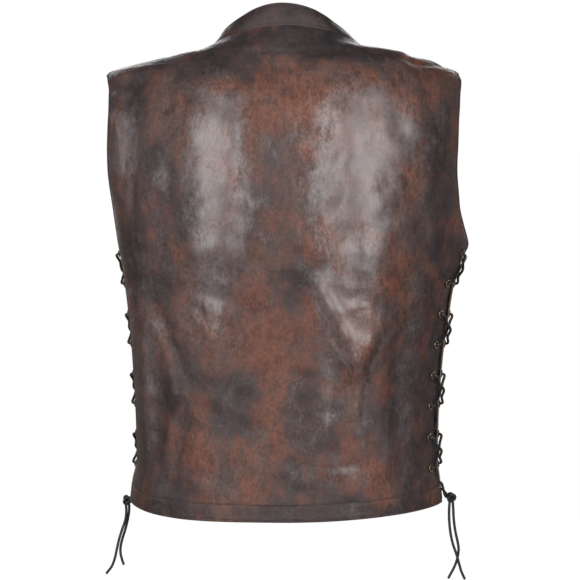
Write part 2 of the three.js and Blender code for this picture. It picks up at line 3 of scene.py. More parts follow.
import bpy
import numpy as np
from bpy.props import FloatProperty, FloatVectorProperty, PointerProperty
from bpy.types import Operator, Panel, PropertyGroup
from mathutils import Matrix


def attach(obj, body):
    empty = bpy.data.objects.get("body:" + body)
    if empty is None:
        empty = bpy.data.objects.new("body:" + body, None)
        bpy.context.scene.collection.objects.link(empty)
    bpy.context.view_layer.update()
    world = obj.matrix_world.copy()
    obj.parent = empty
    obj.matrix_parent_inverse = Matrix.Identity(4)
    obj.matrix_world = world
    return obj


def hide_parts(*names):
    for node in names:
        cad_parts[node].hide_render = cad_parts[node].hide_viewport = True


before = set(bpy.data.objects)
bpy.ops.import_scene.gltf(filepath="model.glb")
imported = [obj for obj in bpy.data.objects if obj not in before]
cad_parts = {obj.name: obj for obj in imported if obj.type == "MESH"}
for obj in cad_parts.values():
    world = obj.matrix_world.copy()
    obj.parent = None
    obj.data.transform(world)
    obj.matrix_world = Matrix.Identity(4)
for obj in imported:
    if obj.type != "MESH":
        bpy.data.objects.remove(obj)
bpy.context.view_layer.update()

bl_info = {
    "name": "Laced leather vest",
    "version": (1, 0, 0),
    "blender": (4, 5, 0),
    "location": "3D View > Sidebar > Vest",
    "description": "Shells, stitching, eyelets, laces and snaps of a leather vest with laced sides",
    "category": "Add Mesh",
}

MM = 0.001

# Sizes of the cut, in millimetres, as in the part's source. The back faces -Y, right is +X.
LAP = 12.5
LAP_STEP = 2.7
LAP_RAMP = (15.0, 26.0)
NECK_LEVEL = 12.0
TIP_LEVEL = -25.0
ARMPIT_LEVEL = -252.0
HEM_LEVEL = -586.0

# Sections: level, left, right, back, front, back rise, front rise, dip of the left half, flare beside
# the right armhole's lower corner, squareness
SECTION_COLUMNS = ("left", "right", "back", "front", "back_rise", "front_rise", "dip", "flare", "square")
SECTIONS = np.array([
    (-586, 206, 206.5, 118, 120, -17, -6, -5, 0, 2.3),
    (-560, 203, 203, 114, 119, -12, -4, -4.5, 0, 2.35),
    (-530, 197, 199.5, 111, 118, -7, -2, -3, 0, 2.4),
    (-480, 198, 200.5, 107, 116, -3, 0, -1, 0, 2.5),
    (-400, 202.5, 206, 104, 117, 0, 0, 0, 0, 2.6),
    (-330, 209, 215.5, 106, 120, 0, 0, 0, 0.5, 2.6),
    (-300, 213, 219, 107.9, 121.9, 0, 0, 0, 2.4, 2.6),
    (-280, 216, 221.7, 109, 123, 0, 0, 0, 6.5, 2.6),
    (-266, 218.5, 223.6, 109.75, 123.7, 0, 0, 0, 10, 2.6),
    (-252, 221, 225.4, 110.4, 124, 0, -1, 0, 15, 2.6),
    (-225, 225, 228.5, 111.4, 123.7, 0, -4, 0, 9, 2.6),
    (-200, 229.5, 231, 112, 122, 0, -8, 0, 2, 2.6),
    (-150, 239, 233, 111, 117, 0, -21, 0, 0, 2.55),
    (-100, 242, 238, 106.5, 107.5, 0.8, -38, 0, 0, 2.4),
    (-60, 242, 240, 98.5, 97, 3, -53, 0, 0, 2.2),
    (-40, 241, 238.5, 92.5, 91.2, 5.3, -61.5, 0, 0, 2.05),
    (-30, 241, 232, 88.7, 88.3, 6.8, -66, 0, 0, 1.95),
    (-23, 236.5, 221.5, 85.3, 85.7, 8.4, -68.2, 0, 0, 1.9),
    (-19, 225, 209, 83.3, 84, 9.8, -69.3, 0, 0, 1.85),
    (-15, 210, 203, 81, 82, 11, -70, 0, 0, 1.85),
    (-10, 188, 192, 78.5, 79.3, 12.4, -70.8, 0, 0, 1.85),
    (-5, 157, 163, 75.5, 76.6, 13.8, -71.5, 0, 0, 1.85),
    (0, 131, 127, 72.5, 73.8, 15.3, -72, 0, 0, 1.9),
    (4, 114, 110, 69.8, 71.2, 16.5, -72, 0, 0, 1.95),
    (8, 102, 102.5, 67, 68.6, 17.8, -72, 0, 0, 2),
    (12, 95, 96.5, 64, 66, 19, -72, 0, 0, 2.05),
])
FLARE_POWER = 8

# Where the panels end, in degrees behind the side line: level, then each panel and side
EDGE_COLUMNS = ("back right", "back left", "front right", "front left")
EDGES = np.array([
    (-586, 8, 3, -7, -13),
    (-565, 12, 1, -4, -15),
    (-540, 17, -1, 1, -16),
    (-480, 20, -2, 3, -17),
    (-330, 20, -2, 3, -17),
    (-300, 17, -1, 1, -16),
    (-275, 11, 2, -3, -14),
    (-252, 6, 5, -7, -12),
    (-238, 10, 9, -12, -16),
    (-220, 14.5, 13, -17, -20),
    (-200, 17.5, 16.5, -21, -23),
    (-150, 21.5, 21, -26, -27),
    (-100, 22.5, 22, -27, -27.5),
    (-60, 20, 20, -24, -24),
    (-42, 16, 16, -19, -19),
    (-33, 13, 13, -14, -14),
    (-30, 11.8, 11.8, -10.5, -10.5),
    (-28, 10.8, 10.8, -6.5, -6.5),
    (-27, 10.2, 10.2, -2.5, -2.5),
    (-26, 9.6, 9.6, 2.5, 2.5),
    (-25, 9, 9, 8.7, 8.7),
])
SEAM_TIP_ANGLE = 9.0
SEAM_NECK_ANGLE = 14.0
SEAM_TUCK_ANGLE = 0.15

# Largest folds, as in the solids: start and end (x, z), width, height out of the wall
FOLDS = {
    "back": [
        (2, -30, -6, -560, 36, -7), (-78, -70, -92, -250, 46, 7), (92, -60, 118, -300, 52, 8),
        (34, -24, 152, -12, 13, 3), (166, -16, 192, -32, 13, -3.5), (110, -270, 98, -396, 27, 5),
        (52, -318, 99, -412, 14, 3.5), (134, -358, 101, -405, 13, 3), (28, -325, 84, -432, 15, -3.5),
        (-178, -330, -132, -444, 13, 4.5), (-132, -444, -160, -575, 13, 4),
        (-188, -320, -166, -575, 12, 3.5), (-160, -330, -152, -560, 13, -3),
        (160, -300, 150, -480, 16, -3),
    ],
    "front": [
        (88, -130, 96, -200, 55, 6), (-88, -130, -96, -200, 55, 6), (120, -300, 96, -480, 22, -4),
        (-126, -310, -98, -500, 22, -4), (152, -330, 138, -560, 16, 3.5),
        (-150, -300, -142, -540, 16, 3.5),
    ],
}

# Creases too fine for the solids: start, middle and end (x, z), width, height
CREASES = {
    "back": [
        (-38, -70, -45, -196, -38, -297, 12, -1.2), (47, -82, 40, -196, 47, -310, 12, -1),
        (106, -326, 102, -366, 100, -404, 17, 3.6), (36, -300, 66, -362, 96, -416, 6, -3.3),
        (50, -296, 78, -350, 101, -402, 7, 2.4), (146, -340, 123, -382, 104, -416, 6, -3.3),
        (132, -334, 114, -372, 101, -400, 7, 1.6), (116, -409, 110, -449, 116, -500, 7, -1.9),
        (100, -396, 98, -432, 92, -480, 6, 2), (84, -424, 80, -450, 72, -486, 8, -1.5),
        (60, -418, 57, -450, 56, -486, 9, 1.7), (-170, -340, -143, -404, -129, -446, 9, 1.4),
        (-150, -344, -130, -402, -117, -446, 7, -2.9), (-128, -440, -140, -496, -156, -572, 9, 1.6),
        (-116, -442, -127, -496, -143, -566, 7, -3.2), (-124, -424, -121, -441, -125, -464, 3.5, -1.4),
        (-181, -355, -176, -452, -178, -555, 5, 1.2), (-168, -345, -163, -452, -166, -568, 5, -1.2),
        (-109, -326, -101, -339, -93, -356, 4, -1.8), (-115, -330, -109, -345, -103, -362, 4.5, 1.1),
        (-83, -322, -85, -373, -74, -424, 12, 1.2), (-79, -38, -70, -45, -60, -47, 5, -1.3),
        (-66, -74, -62, -79, -58, -83, 3.5, -1), (-215, -86, -207, -98, -201, -112, 4, -1.7),
        (-219, -76, -215, -94, -216, -114, 7, 1.8), (-194, -125, -193, -194, -198, -246, 8, -2),
        (-187, -150, -183, -200, -188, -252, 5, 1.3), (-140, -55, -144, -120, -139, -196, 10, -1.5),
        (200, -104, 189, -120, 172, -136, 4, -1.7), (205, -110, 195, -127, 181, -143, 4, 1.2),
        (152, -166, 162, -174, 160, -188, 3.5, -1.7), (167, -172, 166, -184, 161, -192, 3.5, 1),
        (208, -132, 216, -136, 222, -134, 2.6, -0.9), (206, -186, 213, -189, 219, -187, 2.6, -0.9),
        (83, -174, 79, -191, 71, -212, 4, -1.1), (120, -112, 116, -127, 109, -142, 4, -1),
        (79, -134, 73, -147, 67, -157, 4, -1.2), (96, -26, 94, -40, 90, -60, 4, -1.7),
        (130, -19, 161, -22, 182, -33, 4, 1.3), (-236, -36, -205, -29, -160, -25, 5, 1.8),
        (-232, -50, -205, -43, -172, -42, 6, -1.6), (-214, -46, -212, -66, -216, -90, 5, 1),
        (-198, -44, -200, -70, -197, -96, 6, -1.3), (180, -32, 197, -39, 212, -33, 3.5, 1.1),
        (86, -326, 95, -315, 110, -314, 4, -1.5), (90, -336, 99, -330, 114, -326, 3.5, 1),
        (47, -545, 62, -541, 74, -545, 3.5, 0.7), (70, -538, 82, -542, 94, -537, 3.5, 0.8),
        (52, -536, 75, -534, 96, -529, 3.5, -0.9), (60, -526, 78, -527, 93, -521, 3.5, 0.5),
        (88, -586, 111, -581, 132, -574, 2.2, 0.8), (-56, -354, -57, -380, -53, -402, 4, -1.3),
        (-40, -551, -36, -575, -33, -598, 2.2, 0.7), (13, -558, 16, -575, 15, -593, 2.2, 0.7),
        (148, -433, 146, -491, 153, -556, 8, -1.3), (171, -430, 170, -495, 176, -562, 8, 1),
        (24, -360, 19, -424, 25, -487, 10, -0.9), (-32, -17, 6, -27, 44, -17, 8, -1.1),
        (-18, -470, -8, -476, 6, -472, 4, -0.4), (42, -462, 56, -467, 68, -461, 5, -0.4),
    ],
    "front": [
        (150, -70, 118, -96, 80, -112, 8, -1.8), (-148, -74, -114, -104, -70, -118, 8, -1.7),
        (168, -116, 146, -140, 120, -152, 6, -1.4), (-172, -120, -152, -146, -120, -160, 6, -1.5),
        (60, -250, 88, -272, 122, -276, 7, -1.4), (52, -264, 84, -288, 118, -292, 7, 1.2),
        (-66, -262, -94, -280, -128, -280, 7, -1.4), (-60, -276, -88, -296, -124, -297, 7, 1.1),
        (40, -330, 52, -410, 44, -500, 14, -1.6), (-44, -340, -58, -420, -48, -520, 14, -1.7),
        (160, -352, 146, -400, 150, -452, 8, 2), (172, -340, 164, -420, 170, -540, 6, -1.6),
        (-166, -330, -152, -392, -154, -446, 8, 2), (-176, -350, -168, -440, -172, -548, 6, -1.6),
        (112, -420, 122, -468, 116, -536, 9, 1.4), (-114, -400, -124, -452, -112, -530, 9, 1.5),
        (84, -520, 104, -526, 128, -520, 4, -1.3), (80, -529, 102, -536, 126, -531, 4, 1),
        (-92, -506, -112, -514, -134, -508, 4, -1.2), (30, -200, 36, -230, 30, -262, 8, -1),
        (-34, -190, -40, -226, -33, -268, 8, -1), (196, -96, 188, -120, 190, -148, 6, -1.4),
        (-200, -104, -190, -130, -192, -160, 6, -1.4), (70, -352, 82, -362, 96, -362, 4, -1.1),
        (-74, -366, -88, -374, -100, -370, 4, -1.1),
    ],
}

# Waves of the slack leather: number, lengths, height and seed
SLACK_WAVES = 30
SLACK_LENGTHS = (26, 75)
SLACK_HEIGHT = 0.42
SLACK_SEED = 11

# Where the finish is rubbed to a shine that also carries a painted pale sheen, worn to rust or thick: x, z,
# reach in x and z, amount
FINISH_PATCHES = {
    ("polish_and_painted_sheen", "back"): [
        (-82, -120, 42, 80, 1), (-70, -230, 38, 70, 0.7), (-95, -290, 26, 60, 0.5), (105, -95, 55, 60, 1),
        (85, -190, 45, 80, 1), (110, -240, 30, 60, 0.5), (92, -345, 32, 46, 1.1), (60, -318, 20, 28, 0.8),
        (150, -110, 30, 40, 0.5), (-170, -400, 18, 120, 0.4), (-208, -125, 20, 60, 0.9),
        (75, -540, 35, 16, 0.4), (95, -450, 16, 60, 0.4), (60, -450, 14, 36, 0.6),
        (-85, -345, 16, 30, 0.5), (0, 0, 150, 32, -0.9), (-155, -200, 14, 60, 0.4),
    ],
    ("polish_and_painted_sheen", "front"): [
        (92, -150, 44, 70, 0.9), (-88, -160, 40, 76, 0.9), (150, -420, 16, 90, 0.5),
        (-146, -400, 18, 90, 0.5), (60, -520, 30, 24, 0.4), (-40, -330, 20, 70, 0.4),
    ],
    ("rust", "back"): [
        (5, -180, 24, 140, 0.4), (15, -90, 30, 40, 0.7), (-20, -420, 40, 80, 0.4),
        (-113, -512, 35, 50, 0.9), (-150, -380, 14, 50, 0.8), (-20, -540, 30, 40, 0.4),
        (120, -560, 30, 25, 0.6), (60, -400, 14, 40, 0.7), (-70, -60, 20, 20, 0.6),
        (200, -60, 15, 25, 0.7), (150, -300, 20, 60, 0.4), (175, -480, 12, 60, 0.4),
        (-68, -52, 26, 12, 1), (36, -60, 24, 20, 0.8), (150, -60, 18, 30, 0.6), (30, -130, 14, 60, 0.7),
        (-10, -350, 20, 40, 0.8), (-40, -560, 30, 20, 0.7), (82, -520, 30, 30, 0.5),
        (-205, -180, 14, 30, 0.7),
    ],
    ("rust", "front"): [
        (40, -260, 24, 90, 0.7), (-44, -230, 22, 100, 0.6), (110, -520, 34, 44, 0.8),
        (-112, -500, 34, 50, 0.7), (170, -120, 16, 40, 0.5), (-176, -150, 16, 50, 0.5),
    ],
    ("wax", "back"): [
        (-120, -15, 60, 18, 0.7), (90, -8, 70, 14, 0.7), (-65, -75, 10, 20, 0.7),
        (195, -230, 22, 70, 0.6), (150, -450, 30, 90, 0.6), (-150, -230, 12, 60, 0.5),
        (-190, -260, 16, 60, 0.6), (0, -590, 200, 12, 0.5), (-130, -570, 25, 25, 0.7),
        (10, -330, 20, 50, 0.3), (-55, -460, 26, 50, 0.6), (30, -470, 22, 60, 0.6),
        (-140, -140, 12, 50, 0.5), (-45, -240, 10, 40, 0.5), (0, 8, 100, 16, 0.7),
        (-190, -60, 20, 30, 0.6), (-165, -140, 16, 30, 0.8), (-120, -215, 18, 36, 0.7),
        (-35, -215, 14, 30, 0.8), (-48, -120, 12, 24, 0.6), (20, -290, 22, 26, 0.7),
        (196, -150, 14, 40, 0.7), (-160, -310, 24, 24, 0.6), (62, -470, 14, 50, 0.5),
    ],
    ("wax", "front"): [
        (120, -60, 50, 20, 0.7), (-118, -62, 50, 20, 0.7), (140, -300, 24, 60, 0.6),
        (-130, -290, 22, 70, 0.6), (0, -590, 200, 12, 0.5), (70, -420, 20, 60, 0.5),
        (-76, -440, 20, 60, 0.5),
    ],
}

# Collar, eyelets, laces, knots and snaps
COLLAR_TOP = {"left": 84.0, "right": 82.0, "back": 60.0, "front": 58.0, "back_rise": 35.5,
              "front_rise": -55.0, "dip": 0.0, "flare": 0.0, "square": 2.05}
COLLAR_SIDE = 25.0
COLLAR_LIFT = 0.35
COLLAR_BOW = 1.5
COLLAR_END_GAP = 1.2
# Radius of the stand at its middle, by which its columns are spaced, and at its ends
COLLAR_RADIUS = 80
COLLAR_END_RADIUS = 62
COLLAR_WORN = 0.3
COLLAR_WAXED = 0.8
# Less rubbed shine and less painted sheen over the whole stand
COLLAR_DULL = -0.8
# Soft ripples round the stand: angle, width in degrees, height
COLLAR_RIPPLES = [
    (-62, 9, 0.9), (-30, 8, -1.0), (8, 10, 0.9), (38, 7, -1.1), (62, 8, 1.0), (84, 6, -0.9),
    (103, 8, 0.9), (128, 7, -1.0), (151, 9, 1.0), (186, 9, -0.9), (214, 10, 0.9), (238, 8, -0.8),
]

EYELET_LEVELS = -262.0 - 39.5 * np.arange(8)
EYELET_INSET = 12.5
# Heights of the lace over the leather at its places, and the reach of its turns
LACE = {"turn_out": 4.3, "flange": 1.1, "foot": -3.6, "turn_in": -6.9, "turn_reach": 2.2, "over_edge": 2.9,
        "cross_under": 2.2, "cross_over": 6.1, "inside": -5.2, "top_settle": 0.9}
LACE_STEP = 1.2
LACE_SIDES = 12
# How far below the last eyelet a strand turns up again inside
LAST_DROP = 14
# Level and sideways shift at which each strand comes out between the panels, above the knot
STRAND_EXITS = (("back", -562.0, -2.0), ("front", -571.0, 2.0))
KNOT_RADIUS = 6.2
KNOT_HEIGHT = 12.5
KNOT_GAP = 1.2
KNOTS = {"right": (217.5, 0.0, -582.0), "left": (-213.0, 10.0, -590.0)}
LACE_ENDS = {
    "lace_end_right_1": [
        (215.2, -1.5, -588.6), (214.6, -2, -597), (214.6, -2.2, -610), (216, -2.2, -626), (219.2, -2.2, -642),
        (224, -2.2, -656), (227.4, -2, -668), (230.2, -1.6, -678), (234.6, -1.4, -688)],
    "lace_end_right_2": [
        (219.4, 1.5, -588.6), (220, 2, -597), (220.6, 2.2, -610), (222.6, 2.2, -626), (225.6, 2.2, -640),
        (227, 2.2, -650), (225.4, 2.2, -662), (221.6, 2, -673), (214, 1.8, -687.5)],
    "lace_end_left_1": [
        (-214.2, 8, -596.6), (-213.8, 7.6, -605), (-215, 7.4, -616), (-219.4, 7.2, -629), (-223.4, 7, -642),
        (-226.4, 7, -655), (-229, 7, -667), (-233.2, 7, -678), (-240, 7.2, -687)],
    "lace_end_left_2": [
        (-210.6, 12, -596.6), (-210.8, 12.4, -605), (-212.6, 12.6, -616), (-215.8, 12.8, -629),
        (-219.6, 13, -641), (-222.2, 13, -652), (-222.4, 13, -661), (-220.6, 13, -669),
        (-218.4, 13, -675.5)],
}
SNAP_COUNT = 6
SNAP_TOP = -96.0
SNAP_BOTTOM = -566.0

# Doubled leather sinks back between these distances from its row of stitches
TURNED_FADE = (-0.4, 0.8)
HEM_FADE = (-0.6, 1.4)
HEM_DOUBLED = 0.2
# Grooves pressed in along the stitches: width and depth, and how strongly they are painted dark with the wax
# colour, as shade in the groove
EDGE_GROOVE = (0.8, 0.4)
HEM_GROOVE = (1.3, 0.5)
COLLAR_GROOVE = (0.7, 0.35)
GROOVE_DARK = 3.0
# Relief grows to its full height within this distance from an edge
SETTLE = 1.2
# Rounding of the edges that meet in a seam
SEAM_ROUND = 0.3
# The cut edge shows its raw side between these distances
RAW_EDGE = (0.5, 1.1)
HOLE_RADIUS = 3.4
# Rows of points over the hem follow its curve, which is measured over the first height, and let go of
# it between the two others
HEM_SPAN = 26
HEM_FOLLOW = (32, 110)
# Rows of stitches: points along a line, and how far the rows keep from the hem, the shoulder's tip, the
# ends of its seam and the neck. The hem's rows keep so many degrees from its ends.
ROW_SAMPLES = 900
TIP_SAMPLES = 600
SEAM_SAMPLES = 300
END_SAMPLES = 60
FROM_HEM = 4
TIP_BEND = 8
FROM_TIP = 0.4
FROM_SEAM_ENDS = (1, 1.5)
FROM_NECK = 2
FROM_HEM_ENDS = 1.0
# Heights of the stitches over the leather, on edges, the hem's two rows and the collar
EDGE_STITCH = 0.05
HEM_STITCHES = (0.35, -0.05)
COLLAR_STITCH = 0.08

# Rows and columns of the shells, closest beside an edge
NEAR_EDGE = np.array([0, 0.12, 0.35, 0.65, 1, 1.5, 2.1, 2.6, 3, 3.4, 3.9, 4.6, 5.6, 7, 8.4, 9.8, 11.2, 12.5,
                      13.8, 15.2, 16.6, 18, 20, 22.5, 25.5, 29])
NEAR_END = NEAR_EDGE[:14]
NEAR_HEM = np.concatenate([NEAR_END, [9, 11.5, 14, 16.5, 19, 20.4, 21.2, 22, 22.8, 23.6, 25, 27.5, 30]])
PANEL_COLUMNS = {"back_panel": 92, "front_right": 50, "front_left": 50}
COLLAR_COLUMNS = 200
COLLAR_ROWS = np.array([-0.06, -0.055, -0.045, -0.03, -0.01, 0.02, 0.05, 0.09, 0.13, 0.2, 0.3, 0.4, 0.5, 0.6,
                        0.7, 0.78, 0.83, 0.87, 0.9, 0.925, 0.95, 0.97, 0.985, 0.993, 0.998, 1])
ROW_STEP = 3.6
PLAIN_FROM = HEM_LEVEL + 33
EYELET_CLEAR = 7
EYELET_ROWS = np.arange(-6, 6.1, 1.5)
TIP_ROWS = np.arange(-32, TIP_LEVEL, 0.5)
SHOULDER_ROWS = np.concatenate([np.arange(TIP_LEVEL, 0, 0.7), np.arange(0, 9.5, 1)])
NECK_ROWS = NECK_LEVEL - np.array([2.2, 1.5, 1, 0.7, 0.45, 0.25, 0.12, 0.05, 0])


def a_size(name, description, default, low, high):
    return FloatProperty(name=name, description=description, default=default, min=low, max=high,
                         unit="LENGTH", subtype="DISTANCE", precision=4)


def a_colour(name, description, red, green, blue):
    return FloatVectorProperty(name=name, description=description, default=(red, green, blue),
                               min=0, max=1, subtype="COLOR")


class VestSizes(PropertyGroup):
    """Sizes that change the look but not the cut"""

    leather: a_size("Leather", "Thickness of the leather", 0.002, 0.001, 0.003)
    grain: a_size("Grain", "Size of one pebble of the grain", 0.0013, 0.0005, 0.004)
    turned_edge: a_size("Turned edge", "How far the turned edge stands proud", 0.0003, 0, 0.001)
    edge_row: a_size("Edge row", "Distance of the stitching from an edge", 0.003, 0.002, 0.008)
    hem_row: a_size("Hem row", "Distance of the hem's upper row from its edge", 0.022, 0.01, 0.04)
    stitch: a_size("Stitch", "Length of one stitch", 0.003, 0.001, 0.006)
    stitch_pitch: a_size("Stitch pitch", "Distance between stitches", 0.0037, 0.0015, 0.008)
    thread: a_size("Thread", "Thickness of the thread", 0.0006, 0.0002, 0.0015)
    lace: a_size("Lace", "Diameter of the lace", 0.0035, 0.002, 0.006)


class VestColours(PropertyGroup):
    """Colours of the finishes, linear"""

    rust: a_colour("Rust", "Leather where the dark finish has worn off", 0.112, 0.040, 0.025)
    brown: a_colour("Brown", "Leather under a thin finish", 0.066, 0.037, 0.031)
    wax: a_colour("Wax", "Dark waxed finish", 0.019, 0.016, 0.018)
    # Pale grey painted sheen: the colour that the rubbed places are mixed toward, a painted highlight
    painted_sheen: a_colour("Polished", "Finish rubbed to a greyish shine", 0.200, 0.148, 0.140)
    crackle: a_colour("Crackle", "Fine cracks in the finish", 0.21, 0.080, 0.040)
    raw_edge: a_colour("Raw edge", "Cut edge of the leather", 0.26, 0.18, 0.115)
    flesh: a_colour("Flesh side", "Inner side of the leather", 0.050, 0.030, 0.022)
    brass: a_colour("Brass", "Antique brass of eyelets and snaps", 0.36, 0.29, 0.18)
    lace: a_colour("Lace", "Waxed lace", 0.006, 0.0056, 0.0058)
    thread: a_colour("Thread", "Sewing thread", 0.022, 0.015, 0.013)
    paper: a_colour("Paper", "Floor and backdrop", 0.3, 0.3, 0.3)


def track(rows, column):
    """A smooth value against level: cubic pieces between the rows, each row's slope the weighted
    harmonic mean of the slopes beside it, or nothing where they differ in sign."""
    x = rows[:, 0]
    y = rows[:, column]
    width = np.diff(x)
    slope = np.diff(y) / width
    before, after = slope[:-1], slope[1:]
    heavy, light = 2 * width[1:] + width[:-1], width[1:] + 2 * width[:-1]
    same = before * after > 0
    safe_before, safe_after = np.where(same, before, 1), np.where(same, after, 1)
    mean = np.where(same, (heavy + light) / (heavy / safe_before + light / safe_after), 0)
    tangent = np.concatenate([slope[:1], mean, slope[-1:]])

    def value(level):
        i = np.clip(np.searchsorted(x, level, side="left") - 1, 0, len(width) - 1)
        t = (level - x[i]) / width[i]
        rest = 1 - t
        return ((1 + 2 * t) * rest ** 2 * y[i] + t * rest ** 2 * width[i] * tangent[i]
                + t ** 2 * (3 - 2 * t) * y[i + 1] - t ** 2 * rest * width[i] * tangent[i + 1])

    return value


SECTION = {name: track(SECTIONS, i + 1) for i, name in enumerate(SECTION_COLUMNS)}
EDGE = {name: track(EDGES, i + 1) for i, name in enumerate(EDGE_COLUMNS)}


def length(vectors):
    """Root of the sum of squares, kept as a last axis of one."""
    return np.linalg.norm(vectors, axis=-1, keepdims=True)


def unit(vectors):
    return vectors / length(vectors)


def smoothstep(value, low, high):
    """3 t^2 - 2 t^3, where t goes from 0 at low to 1 at high."""
    t = np.clip((value - low) / (high - low), 0, 1)
    return t * t * (3 - 2 * t)


def ring_point(angle, size, height):
    """Boxy ellipse: (half width times cos, depth times sin) over (|cos|^n + |sin|^n)^(1/n), raised by
    the rise times sin squared. The left half of the back dips by 4 cos squared sin squared, and the
    right side stands out by the flare times a high power of cos. Angle 0 is the right side, 90 the
    back, 180 the left."""
    c = np.cos(np.radians(angle))
    s = np.sin(np.radians(angle))
    n = size["square"]
    scale = (np.abs(c) ** n + np.abs(s) ** n) ** (-1 / n)
    half = np.where(c > 0, size["right"] + size["flare"] * c ** FLARE_POWER, size["left"])
    depth = np.where(s > 0, size["back"], size["front"])
    rise = np.where(s > 0, size["back_rise"], size["front_rise"])
    rise = rise + np.where((s > 0) & (c < 0), size["dip"], 0) * 4 * c * c
    return np.stack(np.broadcast_arrays(half * c * scale, -depth * s * scale, height + rise * s * s), axis=-1)


def body_point(angle, level):
    """The ring whose sizes are the sections' at that level."""
    return ring_point(angle, {name: value(level) for name, value in SECTION.items()}, level)


def body_normal(angle, level):
    """Cross product of the differences along level and along angle."""
    step = np.where(level > TIP_LEVEL, 0.5, 2.0)
    at = np.minimum(level, NECK_LEVEL - step)
    along_angle = body_point(angle + 0.5, at) - body_point(angle - 0.5, at)
    along_level = body_point(angle, at + step) - body_point(angle, at - step)
    return unit(np.cross(along_level, along_angle))


def run_distance(x, z, start, end):
    """Distance to a straight run, and the share of the run at its nearest point."""
    dx, dz = end[0] - start[0], end[1] - start[1]
    share = np.clip(((x - start[0]) * dx + (z - start[1]) * dz) / (dx * dx + dz * dz), 0, 1)
    return np.hypot(x - start[0] - share * dx, z - start[1] - share * dz), share


def crease_height(x, z, x0, z0, x1, z1, x2, z2, width, height):
    """A trough or ridge along a bent line through three places: height times exp(-(d / width)^2),
    faded to nothing at both ends with the root of a half sine wave."""
    pieces = 6
    t = np.linspace(0, 1, pieces + 1)[:, None]
    start, middle, end = np.array([(x0, z0), (x1, z1), (x2, z2)])
    bend = 2 * middle - (start + end) / 2
    line = (1 - t) ** 2 * start + 2 * t * (1 - t) * bend + t ** 2 * end
    near = np.full(np.shape(x), np.inf)
    along = np.zeros(np.shape(x))
    for i in range(pieces):
        distance, share = run_distance(x, z, line[i], line[i + 1])
        closer = distance < near
        near = np.where(closer, distance, near)
        along = np.where(closer, (i + share) / pieces, along)
    return height * np.exp(-(near / width) ** 2) * np.sqrt(np.abs(np.sin(math.pi * along)))


def slack_height(x, z, back):
    """Unevenness of loose leather: a sum of sine waves, each with its own direction, length and phase,
    over the root of half their number. The front has the same waves, moved on."""
    rng = np.random.default_rng(SLACK_SEED)
    total = np.zeros(np.shape(x))
    for _ in range(SLACK_WAVES):
        way, phase = rng.uniform(0, 2 * math.pi, 2)
        wave = rng.uniform(*SLACK_LENGTHS)
        run = (x * math.cos(way) + z * math.sin(way)) / wave
        total += np.sin(2 * math.pi * run + phase + np.where(back, 0, 2 * way))
    return SLACK_HEIGHT * total / math.sqrt(SLACK_WAVES / 2)


def relief(point, angle, fine):
    """Sum of the folds, and where wanted of the fine creases and the slack, faded out round the sides."""
    x, z = point[..., 0], point[..., 2]
    back = np.sin(np.radians(angle)) > 0
    height = np.zeros(np.shape(x))
    for side, folds in FOLDS.items():
        here = back == (side == "back")
        for x0, z0, x1, z1, width, tall in folds:
            distance, _ = run_distance(x, z, (x0, z0), (x1, z1))
            height += np.where(here, tall * np.exp(-(distance / width) ** 2), 0)
        for crease in CREASES[side] if fine else []:
            height += np.where(here, crease_height(x, z, *crease), 0)
    if fine:
        height += slack_height(x, z, back) * smoothstep(np.abs(np.sin(np.radians(angle))), 0.28, 0.6)
    return height * np.minimum(1, 3 * np.abs(np.sin(np.radians(angle))))


def finish_shares(point, angle):
    """For each kind of finish, the sum of its patches: amount times exp(-(x / reach)^2 - (z / reach)^2)."""
    back = np.sin(np.radians(angle)) > 0
    shares = {kind: np.zeros(np.shape(back)) for kind, _ in FINISH_PATCHES}
    for (kind, side), patches in FINISH_PATCHES.items():
        for x, z, reach_x, reach_z, amount in patches:
            near = np.exp(-((point[..., 0] - x) / reach_x) ** 2 - ((point[..., 2] - z) / reach_z) ** 2)
            shares[kind] += np.where(back == (side == "back"), amount * near, 0)
    return shares


def surface(angle, level, height=0.0, fine=False):
    """Point at that height over the leather's outer face, and the outward normal."""
    angle, level = np.broadcast_arrays(np.asarray(angle, float), np.asarray(level, float))
    point = body_point(angle, level)
    normal = body_normal(angle, level)
    return point + normal * (relief(point, angle, fine) + height)[..., None], normal


def limit(panel, side, level):
    """Degrees behind the side line where a panel ends: laced edge, armhole, then shoulder seam."""
    level = np.asarray(level, float)
    share = (level - TIP_LEVEL) / (NECK_LEVEL - TIP_LEVEL)
    seam = SEAM_TIP_ANGLE + (SEAM_NECK_ANGLE - SEAM_TIP_ANGLE) * share
    tuck = SEAM_TUCK_ANGLE if panel == "front" else 0
    return np.where(level < TIP_LEVEL, EDGE[f"{panel} {side}"](np.minimum(level, TIP_LEVEL)), seam + tuck)


def side_angle(panel, side, level):
    """The same end as an angle round the body, on the panel's own half of the turn."""
    ends = limit(panel, side, level)
    if side == "right":
        return ends
    return 180 - ends if panel == "back" else -180 - ends


def front_angle(level, x):
    """Angle on the front at which a level has the given x, found by halving."""
    low = np.full(np.shape(level), -150.0)
    high = np.full(np.shape(level), -30.0)
    halvings = 40
    for _ in range(halvings):
        middle = (low + high) / 2
        less = body_point(middle, level)[..., 0] < x
        low = np.where(less, middle, low)
        high = np.where(less, high, middle)
    return (low + high) / 2


def walk(level, start, stop, stops):
    """Angles at measured distances along each level: the ring is sampled, its steps are summed, and
    each wanted distance is looked up. stops gives the distances from the whole lengths. Each level's
    distances are lifted by more than any whole length, so that one look-up serves them all."""
    samples, apart = 240, 5000.0
    share = np.linspace(0, 1, samples)
    angles = start[:, None] + (stop - start)[:, None] * share
    ring = body_point(angles, level[:, None])[..., :2]
    run = np.cumsum(np.pad(length(np.diff(ring, axis=1))[..., 0], ((0, 0), (1, 0))), axis=1)
    want = stops(run[:, -1:])
    lift = np.arange(len(level))[:, None] * apart
    found = np.interp((want + lift).ravel(), (run + lift).ravel(), angles.ravel())
    return found.reshape(want.shape)


